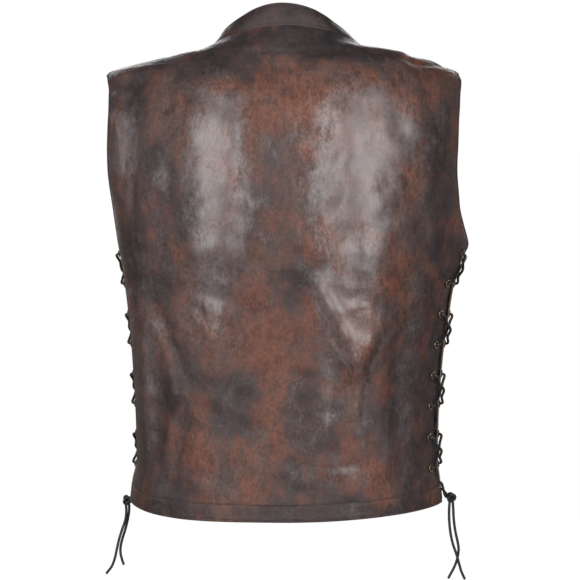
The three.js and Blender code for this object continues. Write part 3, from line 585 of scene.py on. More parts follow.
def panel_ends(name, level):
    """First and last angle of each row of a panel."""
    if name == "back_panel":
        return side_angle("back", "right", level), side_angle("back", "left", level)
    if name == "front_right":
        return front_angle(level, -LAP), side_angle("front", "right", level)
    return side_angle("front", "left", level), front_angle(level, LAP)


def panel_levels():
    """Levels of the rows: close at the hem, round the eyelets, at the shoulder tip and at the neck."""
    plain = np.arange(PLAIN_FROM, TIP_ROWS[0] - 1, ROW_STEP)
    plain = plain[np.min(np.abs(plain[:, None] - EYELET_LEVELS), axis=1) > EYELET_CLEAR]
    near = (EYELET_LEVELS[:, None] + EYELET_ROWS).ravel()
    return np.sort(np.concatenate([HEM_LEVEL + NEAR_HEM, plain, near, TIP_ROWS, SHOULDER_ROWS, NECK_ROWS]))


def panel_grid(name):
    """Angles and levels of a panel's points. Near the hem the rows follow its curve: the height over
    the hem is divided by 1 + (change of rise per level) times sin squared."""
    level = panel_levels()
    start, stop = panel_ends(name, level)

    def stops(whole):
        edge = NEAR_EDGE[-1]
        middle = edge + (whole - 2 * edge) * np.linspace(0, 1, PANEL_COLUMNS[name])[1:-1]
        rows = np.ones_like(whole)
        return np.concatenate([NEAR_EDGE * rows, middle, whole - NEAR_EDGE[::-1]], axis=1)

    angle = walk(level, start, stop, stops)
    rise = SECTION["back_rise" if name == "back_panel" else "front_rise"]
    slope = (rise(HEM_LEVEL + HEM_SPAN) - rise(HEM_LEVEL)) / HEM_SPAN
    over = (level - HEM_LEVEL)[:, None]
    narrow = 1 / (1 + slope * np.sin(np.radians(angle)) ** 2)
    fade = 1 - smoothstep(over, *HEM_FOLLOW)
    return angle, HEM_LEVEL + over * (1 + (narrow - 1) * fade)


def border_distance(points, line):
    """Least distance from each point to the straight pieces of a border."""
    start, run = line[:-1].astype(np.float32), np.diff(line, axis=0).astype(np.float32)
    whole = (run * run).sum(-1)
    flat = points.reshape(-1, 3).astype(np.float32)
    parts = []
    for block in np.array_split(flat, max(1, len(flat) // 2000)):
        offset = block[:, None] - start
        share = np.clip((offset * run).sum(-1) / whole, 0, 1)
        parts.append(np.sqrt(((offset - share[..., None] * run) ** 2).sum(-1).min(1)))
    return np.concatenate(parts).reshape(points.shape[:-1]).astype(float)


def rim_drop(distance, radius):
    """How far a face lies below its full height beside a rounded edge: a quarter circle."""
    inside = np.clip(radius - distance, 0, radius)
    return radius - np.sqrt(np.maximum(0, radius ** 2 - inside ** 2))


def groove(distance, width, depth):
    """Height of a pressed line: minus depth times exp(-(distance / width)^2)."""
    return -depth * np.exp(-(distance / width) ** 2)


def shell_faces(rows, columns, holes):
    """Quads of the outer and the inner face of a wall, and of the walls round its holes. The two faces
    share the points on the border."""
    outer = np.arange(rows * columns).reshape(rows, columns)
    inner = outer + rows * columns
    inner[0], inner[-1], inner[:, 0], inner[:, -1] = outer[0], outer[-1], outer[:, 0], outer[:, -1]
    keep = ~holes

    def quads(grid):
        return np.stack([grid[:-1, :-1], grid[1:, :-1], grid[1:, 1:], grid[:-1, 1:]], axis=-1)

    outside = quads(outer)[keep]
    inside = quads(inner)[keep][:, ::-1]
    walls = []
    up = keep[:-1] & ~keep[1:]
    down = ~keep[:-1] & keep[1:]
    line = (outer[1:-1, :-1], outer[1:-1, 1:], inner[1:-1, 1:], inner[1:-1, :-1])
    walls.append(np.stack([part[up] for part in line], axis=-1)[:, ::-1])
    walls.append(np.stack([part[down] for part in line], axis=-1))
    right = keep[:, :-1] & ~keep[:, 1:]
    left = ~keep[:, :-1] & keep[:, 1:]
    line = (outer[:-1, 1:-1], outer[1:, 1:-1], inner[1:, 1:-1], inner[:-1, 1:-1])
    walls.append(np.stack([part[right] for part in line], axis=-1))
    walls.append(np.stack([part[left] for part in line], axis=-1)[:, ::-1])
    return outside, inside, np.concatenate(walls)


def add_object(name, vertices, faces, materials, material_index=None, attributes=None, uv=None, flat=None):
    """Makes a mesh from arrays, in metres, with its faces pointing out. faces may be a list of arrays
    with different numbers of corners."""
    groups = faces if isinstance(faces, list) else [faces]
    used, remap = np.unique(np.concatenate([group.ravel() for group in groups]), return_inverse=True)
    sizes = [group.size for group in groups]
    parts = np.split(remap, np.cumsum(sizes)[:-1])
    groups = [part.reshape(group.shape) for part, group in zip(parts, groups)]
    vertices = vertices[used]
    volume = 0.0
    for group in groups:
        corner = vertices[group]
        for i in range(1, group.shape[1] - 1):
            volume += np.einsum("ij,ij->i", corner[:, 0], np.cross(corner[:, i], corner[:, i + 1])).sum()
    if volume < 0:
        groups = [group[:, ::-1] for group in groups]
        uv = [part[:, ::-1] for part in uv] if uv is not None else None
    mesh = bpy.data.meshes.new(name)
    mesh.from_pydata((vertices * MM).tolist(), [], [face for group in groups for face in group.tolist()])
    mesh.polygons.foreach_set("use_smooth", np.ones(len(mesh.polygons), dtype=bool))
    if material_index is not None:
        mesh.polygons.foreach_set("material_index", material_index.astype(np.int32))
    if flat is not None:
        layer = mesh.attributes.new("sharp_face", "BOOLEAN", "FACE")
        layer.data.foreach_set("value", flat)
    for key, values in (attributes or {}).items():
        layer = mesh.attributes.new(key, "FLOAT", "POINT")
        layer.data.foreach_set("value", values.ravel()[used].astype(np.float32))
    if uv is not None:
        layer = mesh.uv_layers.new(name="along")
        layer.data.foreach_set("uv", np.concatenate([part.reshape(-1) for part in uv]).astype(np.float32))
    mesh.update(calc_edges=True)
    piece = bpy.data.objects.new(name, mesh)
    bpy.context.scene.collection.objects.link(piece)
    for material in materials:
        mesh.materials.append(material)
    return piece


def place(piece, slot, *nodes):
    """Rides the piece on the one body, in place of the named solids. slot is not used."""
    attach(piece, "root")
    if nodes:
        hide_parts(*nodes)
    return piece


def grid_faces(copies, rows, columns, wrap_rows=False):
    """Quads of equal grids whose columns close on themselves, one after another."""
    i, j = np.meshgrid(np.arange(rows if wrap_rows else rows - 1), np.arange(columns), indexing="ij")
    up, across = (i + 1) % rows, (j + 1) % columns
    corners = [i * columns + j, i * columns + across, up * columns + across, up * columns + j]
    quads = np.stack(corners, axis=-1)
    return (quads.reshape(-1, 4) + (np.arange(copies) * rows * columns)[:, None, None]).reshape(-1, 4)


def cap_faces(copies, rows, columns):
    """The two many-sided ends of each such grid."""
    first = np.arange(columns)[::-1] + (np.arange(copies) * rows * columns)[:, None]
    last = np.arange(columns) + (rows - 1) * columns + (np.arange(copies) * rows * columns)[:, None]
    return np.concatenate([first, last])


def resample(points, step):
    """Points at even distances along a line."""
    run = np.concatenate([[0], np.cumsum(length(np.diff(points, axis=0))[:, 0])])
    at = np.linspace(0, run[-1], max(2, int(round(run[-1] / step)) + 1))
    return np.stack([np.interp(at, run, points[:, k]) for k in range(3)], axis=-1)


def smooth_line(points, step):
    """Cubic pieces through the points, on a scale of root distances, each point's slope the weighted
    mean of the slopes beside it, then points at even distances."""
    points = np.asarray(points, float)
    knots = np.concatenate([[0], np.cumsum(np.sqrt(length(np.diff(points, axis=0))[:, 0]))])
    width = np.diff(knots)[:, None]
    slope = np.diff(points, axis=0) / width
    inner = (slope[:-1] * width[1:] + slope[1:] * width[:-1]) / (width[:-1] + width[1:])
    tangent = np.concatenate([slope[:1], inner, slope[-1:]])
    t = np.linspace(0, 1, 24, endpoint=False)[None, :, None]
    rest = 1 - t
    line = ((1 + 2 * t) * rest ** 2 * points[:-1, None] + t * rest ** 2 * width[:, None] * tangent[:-1, None]
            + t ** 2 * (3 - 2 * t) * points[1:, None] - t ** 2 * rest * width[:, None] * tangent[1:, None])
    return resample(np.concatenate([line.reshape(-1, 3), points[-1:]]), step)


def carry_frames(line):
    """Directions along and across a line. The first across is carried on from point to point, each
    time with its part along the line taken away, so that the tube doesn't twist."""
    along = unit(np.gradient(line, axis=0))
    across = np.empty_like(along)
    seed = np.array([0.0, 1.0, 0.0]) if abs(along[0][1]) < 0.8 else np.array([1.0, 0.0, 0.0])
    for i, direction in enumerate(along):
        seed = seed - direction * seed.dot(direction)
        seed = seed / np.linalg.norm(seed)
        across[i] = seed
    return along, across, np.cross(along, across)


def tube(line, radius, sides):
    """A round section carried along a line, closed by half round ends. Also gives its corner values:
    share of the turn, and distance along in metres."""
    along, across, third = carry_frames(line)
    cap = np.radians([8, 40, 65])
    line = np.concatenate([line[0] - along[0] * radius * np.cos(cap)[:, None], line,
                           line[-1] + along[-1] * radius * np.cos(cap[::-1])[:, None]])
    scale = np.concatenate([np.sin(cap), np.ones(len(along)), np.sin(cap[::-1])])
    across, third = (np.pad(way, ((len(cap), len(cap)), (0, 0)), mode="edge") for way in (across, third))
    turn = np.linspace(0, 2 * math.pi, sides, endpoint=False)[None, :, None]
    ring = line[:, None] + radius * scale[:, None, None] * (
        np.cos(turn) * across[:, None] + np.sin(turn) * third[:, None])
    rows = len(line)
    run = np.concatenate([[0], np.cumsum(length(np.diff(line, axis=0))[:, 0])]) * MM
    i, j = np.meshgrid(np.arange(rows - 1), np.arange(sides), indexing="ij")
    u = np.stack([j, j + 1, j + 1, j], axis=-1).reshape(-1, 4) / sides
    v = np.stack([run[i], run[i], run[i + 1], run[i + 1]], axis=-1).reshape(-1, 4)
    ends = np.stack([np.zeros((2, sides)), np.repeat([[0.0], [run[-1]]], sides, axis=1)], axis=-1)
    return (ring.reshape(-1, 3), [grid_faces(1, rows, sides), cap_faces(1, rows, sides)],
            [np.stack([u, v], axis=-1), ends])


class Graph:
    """Adds nodes to a tree, and joins them"""

    def __init__(self, tree):
        self.tree = tree

    def add(self, kind, sockets=None, **settings):
        node = self.tree.nodes.new(kind)
        for key, value in settings.items():
            setattr(node, key, value)
        for key, value in (sockets or {}).items():
            self.set(node.inputs[key], value)
        return node

    def set(self, socket, value):
        if isinstance(value, bpy.types.NodeSocket):
            self.tree.links.new(value, socket)
        else:
            socket.default_value = value

    def math(self, operation, a, b=0.0, clamp=False):
        node = self.add("ShaderNodeMath", {0: a, 1: b}, operation=operation, use_clamp=clamp)
        return node.outputs[0]

    def total(self, *terms):
        """Sum of values, each times its weight."""
        parts = [value if weight == 1 else self.math("MULTIPLY", value, weight) for value, weight in terms]
        result = parts[0]
        for part in parts[1:]:
            result = self.math("ADD", result, part)
        return result

    def step(self, value, low, high, to_low=0.0, to_high=1.0):
        sockets = {"Value": value, "From Min": low, "From Max": high, "To Min": to_low, "To Max": to_high}
        return self.add("ShaderNodeMapRange", sockets, interpolation_type="SMOOTHSTEP").outputs[0]

    def mix(self, share, a, b):
        """Colour a where share is 0, b where it is 1."""
        node = self.add("ShaderNodeMix", {0: share, 6: a, 7: b}, data_type="RGBA")
        return node.outputs[2]

    def noise(self, vector, scale, detail=3.0, roughness=0.55):
        sockets = {"Vector": vector, "Scale": scale, "Detail": detail, "Roughness": roughness}
        return self.add("ShaderNodeTexNoise", sockets).outputs["Fac"]

    def stretch(self, vector, factors, shift=(0, 0, 0)):
        sockets = {"Vector": vector, "Scale": factors, "Location": shift}
        return self.add("ShaderNodeMapping", sockets).outputs[0]

    def edges(self, vector, scale):
        """Distance to the edges of irregular cells."""
        sockets = {"Vector": vector, "Scale": scale}
        return self.add("ShaderNodeTexVoronoi", sockets, feature="DISTANCE_TO_EDGE").outputs["Distance"]

    def wobble(self, vector, scale, reach):
        """The place moved by a noise colour times the reach."""
        noise = self.add("ShaderNodeTexNoise", {"Vector": vector, "Scale": scale, "Detail": 2.0})
        sockets = {0: noise.outputs["Color"], "Scale": reach}
        shift = self.add("ShaderNodeVectorMath", sockets, operation="SCALE")
        return self.add("ShaderNodeVectorMath", {0: vector, 1: shift.outputs[0]}, operation="ADD").outputs[0]

    def object_place(self):
        return self.add("ShaderNodeTexCoord").outputs["Object"]

    def bump(self, shader, height, strength, distance):
        sockets = {"Strength": strength, "Distance": distance, "Height": height}
        self.set(shader.inputs["Normal"], self.add("ShaderNodeBump", sockets).outputs[0])


def group(name, inputs, outputs):
    """A new node group of that name, a graph in it, and its entry and leave sockets."""
    tree = bpy.data.node_groups.new(name, "ShaderNodeTree")
    for key, (kind, value) in inputs.items():
        socket = tree.interface.new_socket(key, in_out="INPUT", socket_type=kind)
        if value is not None:
            socket.default_value = value
    for key, kind in outputs.items():
        tree.interface.new_socket(key, in_out="OUTPUT", socket_type=kind)
    graph = Graph(tree)
    entry = graph.add("NodeGroupInput").outputs
    leave = graph.add("NodeGroupOutput").inputs
    return tree, graph, entry, leave


def patina_group(name):
    """Masks of a worn finish: where it is dark, where it has worn to rust, and its fine cracks.
    Each is a sum of noises in streaks that run down the piece and of the given shares, cut to
    a range."""
    tree, g, entry, leave = group(name, {
        "Vector": ("NodeSocketVector", None),
        "Streak": ("NodeSocketFloat", 0.5),
        "Waxed": ("NodeSocketFloat", 0.0),
        "Worn": ("NodeSocketFloat", 0.0),
    }, {"Dark": "NodeSocketFloat", "Rust": "NodeSocketFloat", "Cracks": "NodeSocketFloat",
        "Tone": "NodeSocketFloat", "Patch": "NodeSocketFloat", "Mottle": "NodeSocketFloat"})
    factors = g.add("ShaderNodeCombineXYZ", {"X": 1.0, "Y": 1.0, "Z": entry["Streak"]}).outputs[0]
    streaks = g.add("ShaderNodeVectorMath", {0: entry["Vector"], 1: factors}, operation="MULTIPLY").outputs[0]
    cloud = g.noise(streaks, 11.0, 5.0, 0.62)
    patch = g.noise(g.stretch(streaks, (1, 1, 1), (3.1, 0.4, 1.7)), 38.0, 6.0, 0.66)
    fibre = g.noise(g.stretch(streaks, (1, 1, 0.7), (0.7, 2.2, 5.1)), 120.0, 4.0, 0.66)
    fleck = g.noise(g.stretch(streaks, (1, 1, 1), (6.7, 1.2, 0.9)), 330.0, 3.0, 0.6)
    speck = g.noise(entry["Vector"], 420.0, 2.0, 0.6)
    dark = g.total((cloud, 0.36), (patch, 0.34), (fibre, 0.18), (fleck, 0.12), (entry["Waxed"], 0.13),
                   (entry["Worn"], -0.07))
    other = g.noise(g.stretch(streaks, (1, 1, 1), (8.3, 5.9, 2.6)), 13.0, 5.0, 0.64)
    rust = g.total((other, 0.6), (patch, -0.25), (fibre, 0.2), (fleck, 0.14), (entry["Worn"], 0.08))
    bent = g.wobble(entry["Vector"], 260.0, 0.0022)
    lines = g.step(g.edges(g.stretch(bent, (1, 1, 0.7)), 430.0), 0.02, 0.13, 1.0, 0.0)
    area = g.noise(g.stretch(streaks, (1, 1, 1), (1.9, 7.7, 0.3)), 14.0, 4.0, 0.6)
    area = g.step(g.total((area, 1), (entry["Worn"], 0.06)), 0.52, 0.68)
    cracks = g.math("MULTIPLY", g.math("MULTIPLY", lines, area), g.step(speck, 0.4, 0.62))
    g.set(leave["Dark"], g.step(dark, 0.462, 0.566))
    g.set(leave["Rust"], g.step(rust, 0.31, 0.45))
    g.set(leave["Cracks"], cracks)
    g.set(leave["Tone"], fibre)
    g.set(leave["Patch"], patch)
    g.set(leave["Mottle"], g.step(g.total((fibre, 0.55), (fleck, 0.45)), 0.35, 0.65))
    return tree


def grain_group(name):
    """Height of a pebbled grain: domes between the edges of small cells, with pores and fine folds."""
    tree, g, entry, leave = group(name, {
        "Vector": ("NodeSocketVector", None),
        "Pebbles per metre": ("NodeSocketFloat", 770.0),
    }, {"Height": "NodeSocketFloat", "Cells": "NodeSocketFloat"})
    domes = g.step(g.edges(g.wobble(entry["Vector"], 300.0, 0.0012), entry["Pebbles per metre"]), 0.0, 0.28)
    pores = g.noise(entry["Vector"], 1900.0, 2.0, 0.7)
    loose = g.noise(g.stretch(entry["Vector"], (0.6, 0.6, 1.5)), 130.0, 5.0, 0.62)
    slack = g.noise(g.stretch(entry["Vector"], (1, 1, 0.8), (2.3, 0.6, 4.1)), 26.0, 4.0, 0.5)
    g.set(leave["Height"], g.total((domes, 0.42), (pores, 0.16), (loose, 1.8), (slack, 22.0)))
    g.set(leave["Cells"], domes)
    return tree


def rub_group(name):
    """Share of wear beside an edge: full within the width, broken up by noise."""
    tree, g, entry, leave = group(name, {
        "Vector": ("NodeSocketVector", None),
        "Distance": ("NodeSocketFloat", 10.0),
        "Width": ("NodeSocketFloat", 2.0),
    }, {"Wear": "NodeSocketFloat"})
    broken = g.noise(entry["Vector"], 260.0, 3.0, 0.6)
    reach = g.math("MULTIPLY", entry["Width"], g.math("MULTIPLY", broken, 2.0))
    wear = g.step(g.math("SUBTRACT", reach, entry["Distance"]), -0.2, 1.0)
    g.set(leave["Wear"], wear)
    return tree


def scuff_group(name):
    """Fine scratches and dust: thin lines of stretched noise, and a soft cloud."""
    tree, g, entry, leave = group(name, {
        "Vector": ("NodeSocketVector", None),
        "Scale": ("NodeSocketFloat", 1.0),
    }, {"Scratches": "NodeSocketFloat", "Cloud": "NodeSocketFloat"})
    scaled = g.add("ShaderNodeVectorMath", {0: entry["Vector"], "Scale": entry["Scale"]}, operation="SCALE")
    turned = g.add("ShaderNodeMapping", {"Vector": scaled.outputs[0], "Rotation": (0.3, 0.5, 0.2),
                                         "Scale": (1, 1, 0.06)}).outputs[0]
    thin = g.step(g.noise(turned, 520.0, 2.0, 0.5), 0.62, 0.70)
    g.set(leave["Scratches"], thin)
    g.set(leave["Cloud"], g.noise(scaled.outputs[0], 34.0, 4.0, 0.6))
    return tree


def use_group(g, name, build, sockets):
    """Outputs of a node of the group of that name, which is built the first time it is asked for."""
    node = g.add("ShaderNodeGroup", node_tree=bpy.data.node_groups.get(name) or build(name))
    for key, value in sockets.items():
        g.set(node.inputs[key], value)
    return node.outputs


def colour(values):
    return (*values, 1.0)


def new_material(name):
    """A new material, a graph in its tree, and its shader."""
    material = bpy.data.materials.new(name)
    material.use_nodes = True
    g = Graph(material.node_tree)
    shader = material.node_tree.nodes["Principled BSDF"]
    return material, g, shader


def finish_named(name, build):
    """The material of that name, built the first time it is asked for."""
    return bpy.data.materials.get(name) or build(name)


def leather_material(name):
    """Waxed leather: rust under a thin brown finish under dark wax, rubbed to a gloss on the high places with
    a painted greyish sheen there, worn at the edges and on ridges with a painted highlight on the ridges, and
    with painted shade in the troughs."""
    material, g, shader = new_material(name)
    tint = bpy.context.scene.vest_colours
    sizes = bpy.context.scene.vest_sizes
    place_in = g.object_place()
    share = {key: g.add("ShaderNodeAttribute", attribute_name=key).outputs["Fac"]
             for key in ("edge", "crease", "raw", "polish_and_painted_sheen", "rust", "wax")}
    patina = use_group(g, "Patina", patina_group, {
        "Vector": place_in, "Streak": 0.68, "Waxed": share["wax"], "Worn": share["rust"]})
    grain = use_group(g, "Leather grain", grain_group, {
        "Vector": place_in, "Pebbles per metre": 1 / sizes.grain})
    rub = use_group(g, "Rubbed edge", rub_group, {
        "Vector": place_in, "Distance": share["edge"], "Width": 1.0})["Wear"]
    scuff = use_group(g, "Scuffs", scuff_group, {"Vector": place_in})
    tone = g.mix(patina["Rust"], colour(tint.brown), colour(tint.rust))
    waxed = g.math("MULTIPLY", patina["Dark"], 0.9)
    # Painted shade: the troughs and the stitch grooves are darkened toward the wax colour
    painted_trough_shade = g.step(share["crease"], 0.2, -2.2)
    waxed = g.math("MAXIMUM", waxed, g.math("MULTIPLY", painted_trough_shade, 0.65))
    tone = g.mix(waxed, tone, colour(tint.wax))
    # Ridges and rubbed edges are mixed toward the rust colour: wear on the edges and ridges, and a painted
    # highlight on the ridges
    ridge = g.step(share["crease"], 0.6, 2.8)
    worn = g.math("MULTIPLY", g.math("ADD", ridge, rub, clamp=True), 0.32)
    tone = g.mix(worn, tone, colour(tint.rust))
    tone = g.mix(g.math("MULTIPLY", patina["Cracks"], 0.5), tone, colour(tint.crackle))
    # Painted sheen: where the finish is rubbed, the colour is mixed toward a pale grey as a painted
    # highlight; the lower roughness and the coat there are real gloss
    shine = g.step(g.total((share["polish_and_painted_sheen"], 1), (patina["Patch"], 1.7), (patina["Mottle"], 0.3)), 0.9, 2.2)
    tone = g.mix(g.math("MULTIPLY", shine, 0.3), tone, colour(tint.painted_sheen))
    valley = g.step(grain["Cells"], 0.0, 0.6, 0.86, 1.0)
    valley = g.math("MULTIPLY", valley, g.step(patina["Mottle"], 0.0, 1.0, 0.72, 1.24))
    shade = g.add("ShaderNodeCombineColor", {0: valley, 1: valley, 2: valley}).outputs[0]
    product = g.add("ShaderNodeMix", {0: 1.0, 6: tone, 7: shade}, data_type="RGBA", blend_type="MULTIPLY")
    tone = product.outputs[2]
    raw = g.math("MULTIPLY", share["raw"], g.step(scuff["Cloud"], 0.3, 0.6, 0.5, 0.95))
    tone = g.mix(raw, tone, colour(tint.raw_edge))
    g.set(shader.inputs["Base Color"], tone)
    rough = g.total((g.step(patina["Tone"], 0.3, 0.7, 0.40, 0.50), 1), (shine, -0.08),
                    (scuff["Scratches"], 0.1), (patina["Rust"], 0.04), (raw, 0.3))
    g.set(shader.inputs["Roughness"], rough)
    shader.inputs["Specular IOR Level"].default_value = 0.35
    shader.inputs["Specular Tint"].default_value = (1.0, 0.86, 0.83, 1.0)
    g.set(shader.inputs["Coat Weight"], g.step(shine, 0.0, 1.0, 0.03, 0.95))
    shader.inputs["Coat Roughness"].default_value = 0.3
    g.bump(shader, g.total((grain["Height"], 1), (scuff["Scratches"], -0.2)), 0.6, 0.00045)
    return material


def flesh_material(name):
    """Inner side of the leather: short fibres, no gloss."""
    material, g, shader = new_material(name)
    tint = bpy.context.scene.vest_colours
    place_in = g.object_place()
    fibre = g.noise(g.stretch(place_in, (1, 1, 0.5)), 900.0, 4.0, 0.7)
    cloud = g.noise(place_in, 30.0, 4.0, 0.6)
    pale = tuple(min(1.0, 1.8 * value) for value in tint.flesh)
    share = g.step(g.total((fibre, 0.6), (cloud, 0.4)), 0.35, 0.65)
    g.set(shader.inputs["Base Color"], g.mix(share, colour(tint.flesh), colour(pale)))
    g.set(shader.inputs["Roughness"], g.step(fibre, 0.3, 0.7, 0.82, 0.95))
    shader.inputs["Sheen Weight"].default_value = 0.3
    g.bump(shader, fibre, 0.6, 0.0004)
    return material


def brass_material(name):
    """Antique brass: dark tarnish, bare metal where it is rubbed, fine scratches."""
    material, g, shader = new_material(name)
    tint = bpy.context.scene.vest_colours
    scuff = use_group(g, "Scuffs", scuff_group, {"Vector": g.object_place(), "Scale": 6.0})
    raised = g.add("ShaderNodeAttribute", attribute_name="raised").outputs["Fac"]
    dull = tuple(0.28 * value for value in tint.brass)
    share = g.step(g.total((raised, 1), (scuff["Cloud"], 0.5)), 0.45, 1.15)
    g.set(shader.inputs["Base Color"], g.mix(share, colour(dull), colour(tint.brass)))
    shader.inputs["Metallic"].default_value = 1.0
    rough = g.total((g.step(share, 0.0, 1.0, 0.5, 0.3), 1), (scuff["Scratches"], 0.12))
    g.set(shader.inputs["Roughness"], rough)
    g.bump(shader, scuff["Cloud"], 0.3, 0.0001)
    return material


def lace_material(name):
    """Braided waxed lace: two sets of strands that wind round it, over and under each other."""
    material, g, shader = new_material(name)
    tint = bpy.context.scene.vest_colours
    along = g.add("ShaderNodeUVMap", uv_map="along").outputs[0]
    split = g.add("ShaderNodeSeparateXYZ", {0: along}).outputs
    strands, pitch = 4, 0.0042
    turn = g.math("MULTIPLY", split[0], 2 * math.pi * strands)
    run = g.math("MULTIPLY", split[1], 2 * math.pi / pitch)
    one = g.math("SINE", g.math("ADD", turn, run))
    two = g.math("SINE", g.math("SUBTRACT", turn, run))
    braid = g.math("MULTIPLY", one, two)
    fuzz = g.noise(g.object_place(), 1500.0, 3.0, 0.6)
    share = g.step(g.total((braid, 0.5), (fuzz, 1)), 0.1, 1.1)
    light = tuple(min(1.0, 2.6 * value) for value in tint.lace)
    g.set(shader.inputs["Base Color"], g.mix(share, colour(tint.lace), colour(light)))
    g.set(shader.inputs["Roughness"], g.step(fuzz, 0.3, 0.7, 0.42, 0.6))
    g.bump(shader, g.total((braid, 0.5), (fuzz, 0.4)), 0.7, 0.0003)
    return material


def thread_material(name):
    """Waxed thread, a little lighter where it is rubbed."""
    material, g, shader = new_material(name)
    tint = bpy.context.scene.vest_colours
    twist = g.noise(g.object_place(), 2400.0, 2.0, 0.5)
    light = tuple(min(1.0, 2.2 * value) for value in tint.thread)
    g.set(shader.inputs["Base Color"], g.mix(g.step(twist, 0.35, 0.65), colour(tint.thread), colour(light)))
    g.set(shader.inputs["Roughness"], g.step(twist, 0.3, 0.7, 0.5, 0.7))
    g.bump(shader, twist, 0.5, 0.0001)
    return material


def paper_material(name):
    """Pale studio paper: plain and matt. To the camera it glows evenly, and the vest sees it dimmer."""
    material, g, shader = new_material(name)
    tint = bpy.context.scene.vest_colours
    shader.inputs["Base Color"].default_value = colour(tint.paper)
    shader.inputs["Roughness"].default_value = 0.9
    glow = g.add("ShaderNodeEmission", {"Color": colour((1, 1, 1)), "Strength": 1.11})
    path = g.add("ShaderNodeLightPath").outputs["Is Camera Ray"]
    share = g.math("MULTIPLY", path, 0.9)
    both = g.add("ShaderNodeMixShader", {0: share, 1: shader.outputs[0], 2: glow.outputs[0]})
    output = material.node_tree.nodes["Material Output"]
    g.set(output.inputs["Surface"], both.outputs[0])
    return material


def panel_shell(name):
    """A panel as a wall: outer face at the folds' height, inner face one thickness below, both
    rounded off into each other all round, pressed in along the rows of stitches."""
    sizes = bpy.context.scene.vest_sizes
    thickness = sizes.leather / MM
    edge_row, hem_row = sizes.edge_row / MM, sizes.hem_row / MM
    angle, level = panel_grid(name)
    base = body_point(angle, level)
    normal = body_normal(angle, level)
    coarse = relief(base, angle, False)
    folds = relief(base, angle, True)
    hem = border_distance(base, base[0])
    sides = np.minimum(border_distance(base, base[:, 0]), border_distance(base, base[:, -1]))
    top = border_distance(base, base[-1])
    edge = np.minimum(sides, hem)
    turned = sizes.turned_edge / MM * (1 - smoothstep(edge - edge_row, *TURNED_FADE))
    doubled = HEM_DOUBLED * (1 - smoothstep(hem - hem_row, *HEM_FADE))
    rows = groove(edge - edge_row, *EDGE_GROOVE) + groove(hem - hem_row, *HEM_GROOVE)
    drop = np.maximum(rim_drop(edge, thickness / 2), rim_drop(top, SEAM_ROUND))
    raised = turned + doubled + rows
    raw = (1 - smoothstep(sides, *RAW_EDGE)) * (level < ARMPIT_LEVEL) * (np.abs(base[..., 0]) > 2 * LAP)
    # Fine relief and the stitch grooves, from which the material paints shade in the troughs and a highlight
    # on the ridges
    crease = folds - coarse + GROOVE_DARK * rows
    shares = {"edge": edge, "crease": crease, "raw": raw, **finish_shares(base, angle)}
    if name == "front_right":
        folds = folds - LAP_STEP * (1 - smoothstep(base[..., 0], *LAP_RAMP))
    settle = smoothstep(np.minimum(edge, top), 0, SETTLE)
    outer = base + normal * (folds + raised * settle - drop)[..., None]
    inner = base + normal * np.minimum(folds - thickness + drop, folds - drop)[..., None]
    centre = (base[:-1, :-1] + base[1:, :-1] + base[1:, 1:] + base[:-1, 1:]) / 4
    holes = np.zeros(centre.shape[:2], dtype=bool)
    for spot in eyelet_points(name):
        holes |= np.linalg.norm(centre - spot, axis=-1) < HOLE_RADIUS
    outside, inside, walls = shell_faces(*angle.shape, holes)
    counts = (len(outside), len(inside), len(walls))
    return sheet_piece(name, outer, inner, np.concatenate([outside, inside, walls]), shares,
                       material_index=np.repeat([0, 1, 1], counts),
                       flat=np.repeat([False, False, True], counts))


def sheet_piece(name, outer, inner, faces, shares, **settings):
    """A leather wall from the points of its two faces, with the finish's shares on both."""
    piece = add_object(
        name.replace("_panel", "") + "_leather", np.concatenate([outer.reshape(-1, 3), inner.reshape(-1, 3)]),
        faces, [finish_named("waxed leather", leather_material), finish_named("flesh side", flesh_material)],
        attributes={key: np.tile(values.ravel(), 2) for key, values in shares.items()}, **settings)
    place(piece, "leather", name)
    return piece


def eyelet_angle(panel, side):
    """Angle of each eyelet: the inset measured along its level from the panel's edge."""
    start = side_angle(panel, side, EYELET_LEVELS)
    inward = (1 if panel == "back" else -1) * (1 if side == "right" else -1)
    return walk(EYELET_LEVELS, start, start + 60.0 * inward, lambda whole: EYELET_INSET + 0 * whole)[:, 0]


def panel_sides(name):
    """Which panel a node belongs to, and its laced sides: two for the back, one for a front."""
    panel, side = name.split("_")
    return panel, ("right", "left") if panel == "back" else (side,)


def eyelet_points(name):
    """Places of a panel's eyelets on the bare body."""
    panel, sides = panel_sides(name)
    return np.concatenate([body_point(eyelet_angle(panel, side), EYELET_LEVELS) for side in sides])


def collar_point(angle, t):
    """Straight from the neck ring to the top ring, bowed out by a parabola and rippled."""
    low = body_point(angle, np.full(np.shape(angle), NECK_LEVEL))
    high = ring_point(angle, COLLAR_TOP, COLLAR_SIDE + 0 * angle)
    t = np.asarray(t)[..., None]
    point = low + (high - low) * t
    out = unit(point * np.array([1.0, 1.0, 0.0]))
    ripple = sum(tall * np.exp(-((np.asarray(angle) - at) / wide) ** 2) for at, wide, tall in COLLAR_RIPPLES)
    bow = COLLAR_BOW * 4 * t * (1 - t) + (ripple * smoothstep(t[..., 0], 0.1, 0.8))[..., None]
    return point + out * bow + np.array([0, 0, COLLAR_LIFT])


def collar_surface(angle, t, height=0.0):
    """Point at that height over the stand, and the outward normal: the cross product of the
    differences along the share of its height and along the angle."""
    near = np.clip(t, 0.02, 0.98)
    along_angle = collar_point(angle + 0.5, near) - collar_point(angle - 0.5, near)
    along_t = collar_point(angle, near + 0.02) - collar_point(angle, near - 0.02)
    normal = unit(np.cross(along_t, along_angle))
    return collar_point(angle, t) + normal * np.asarray(height)[..., None], normal


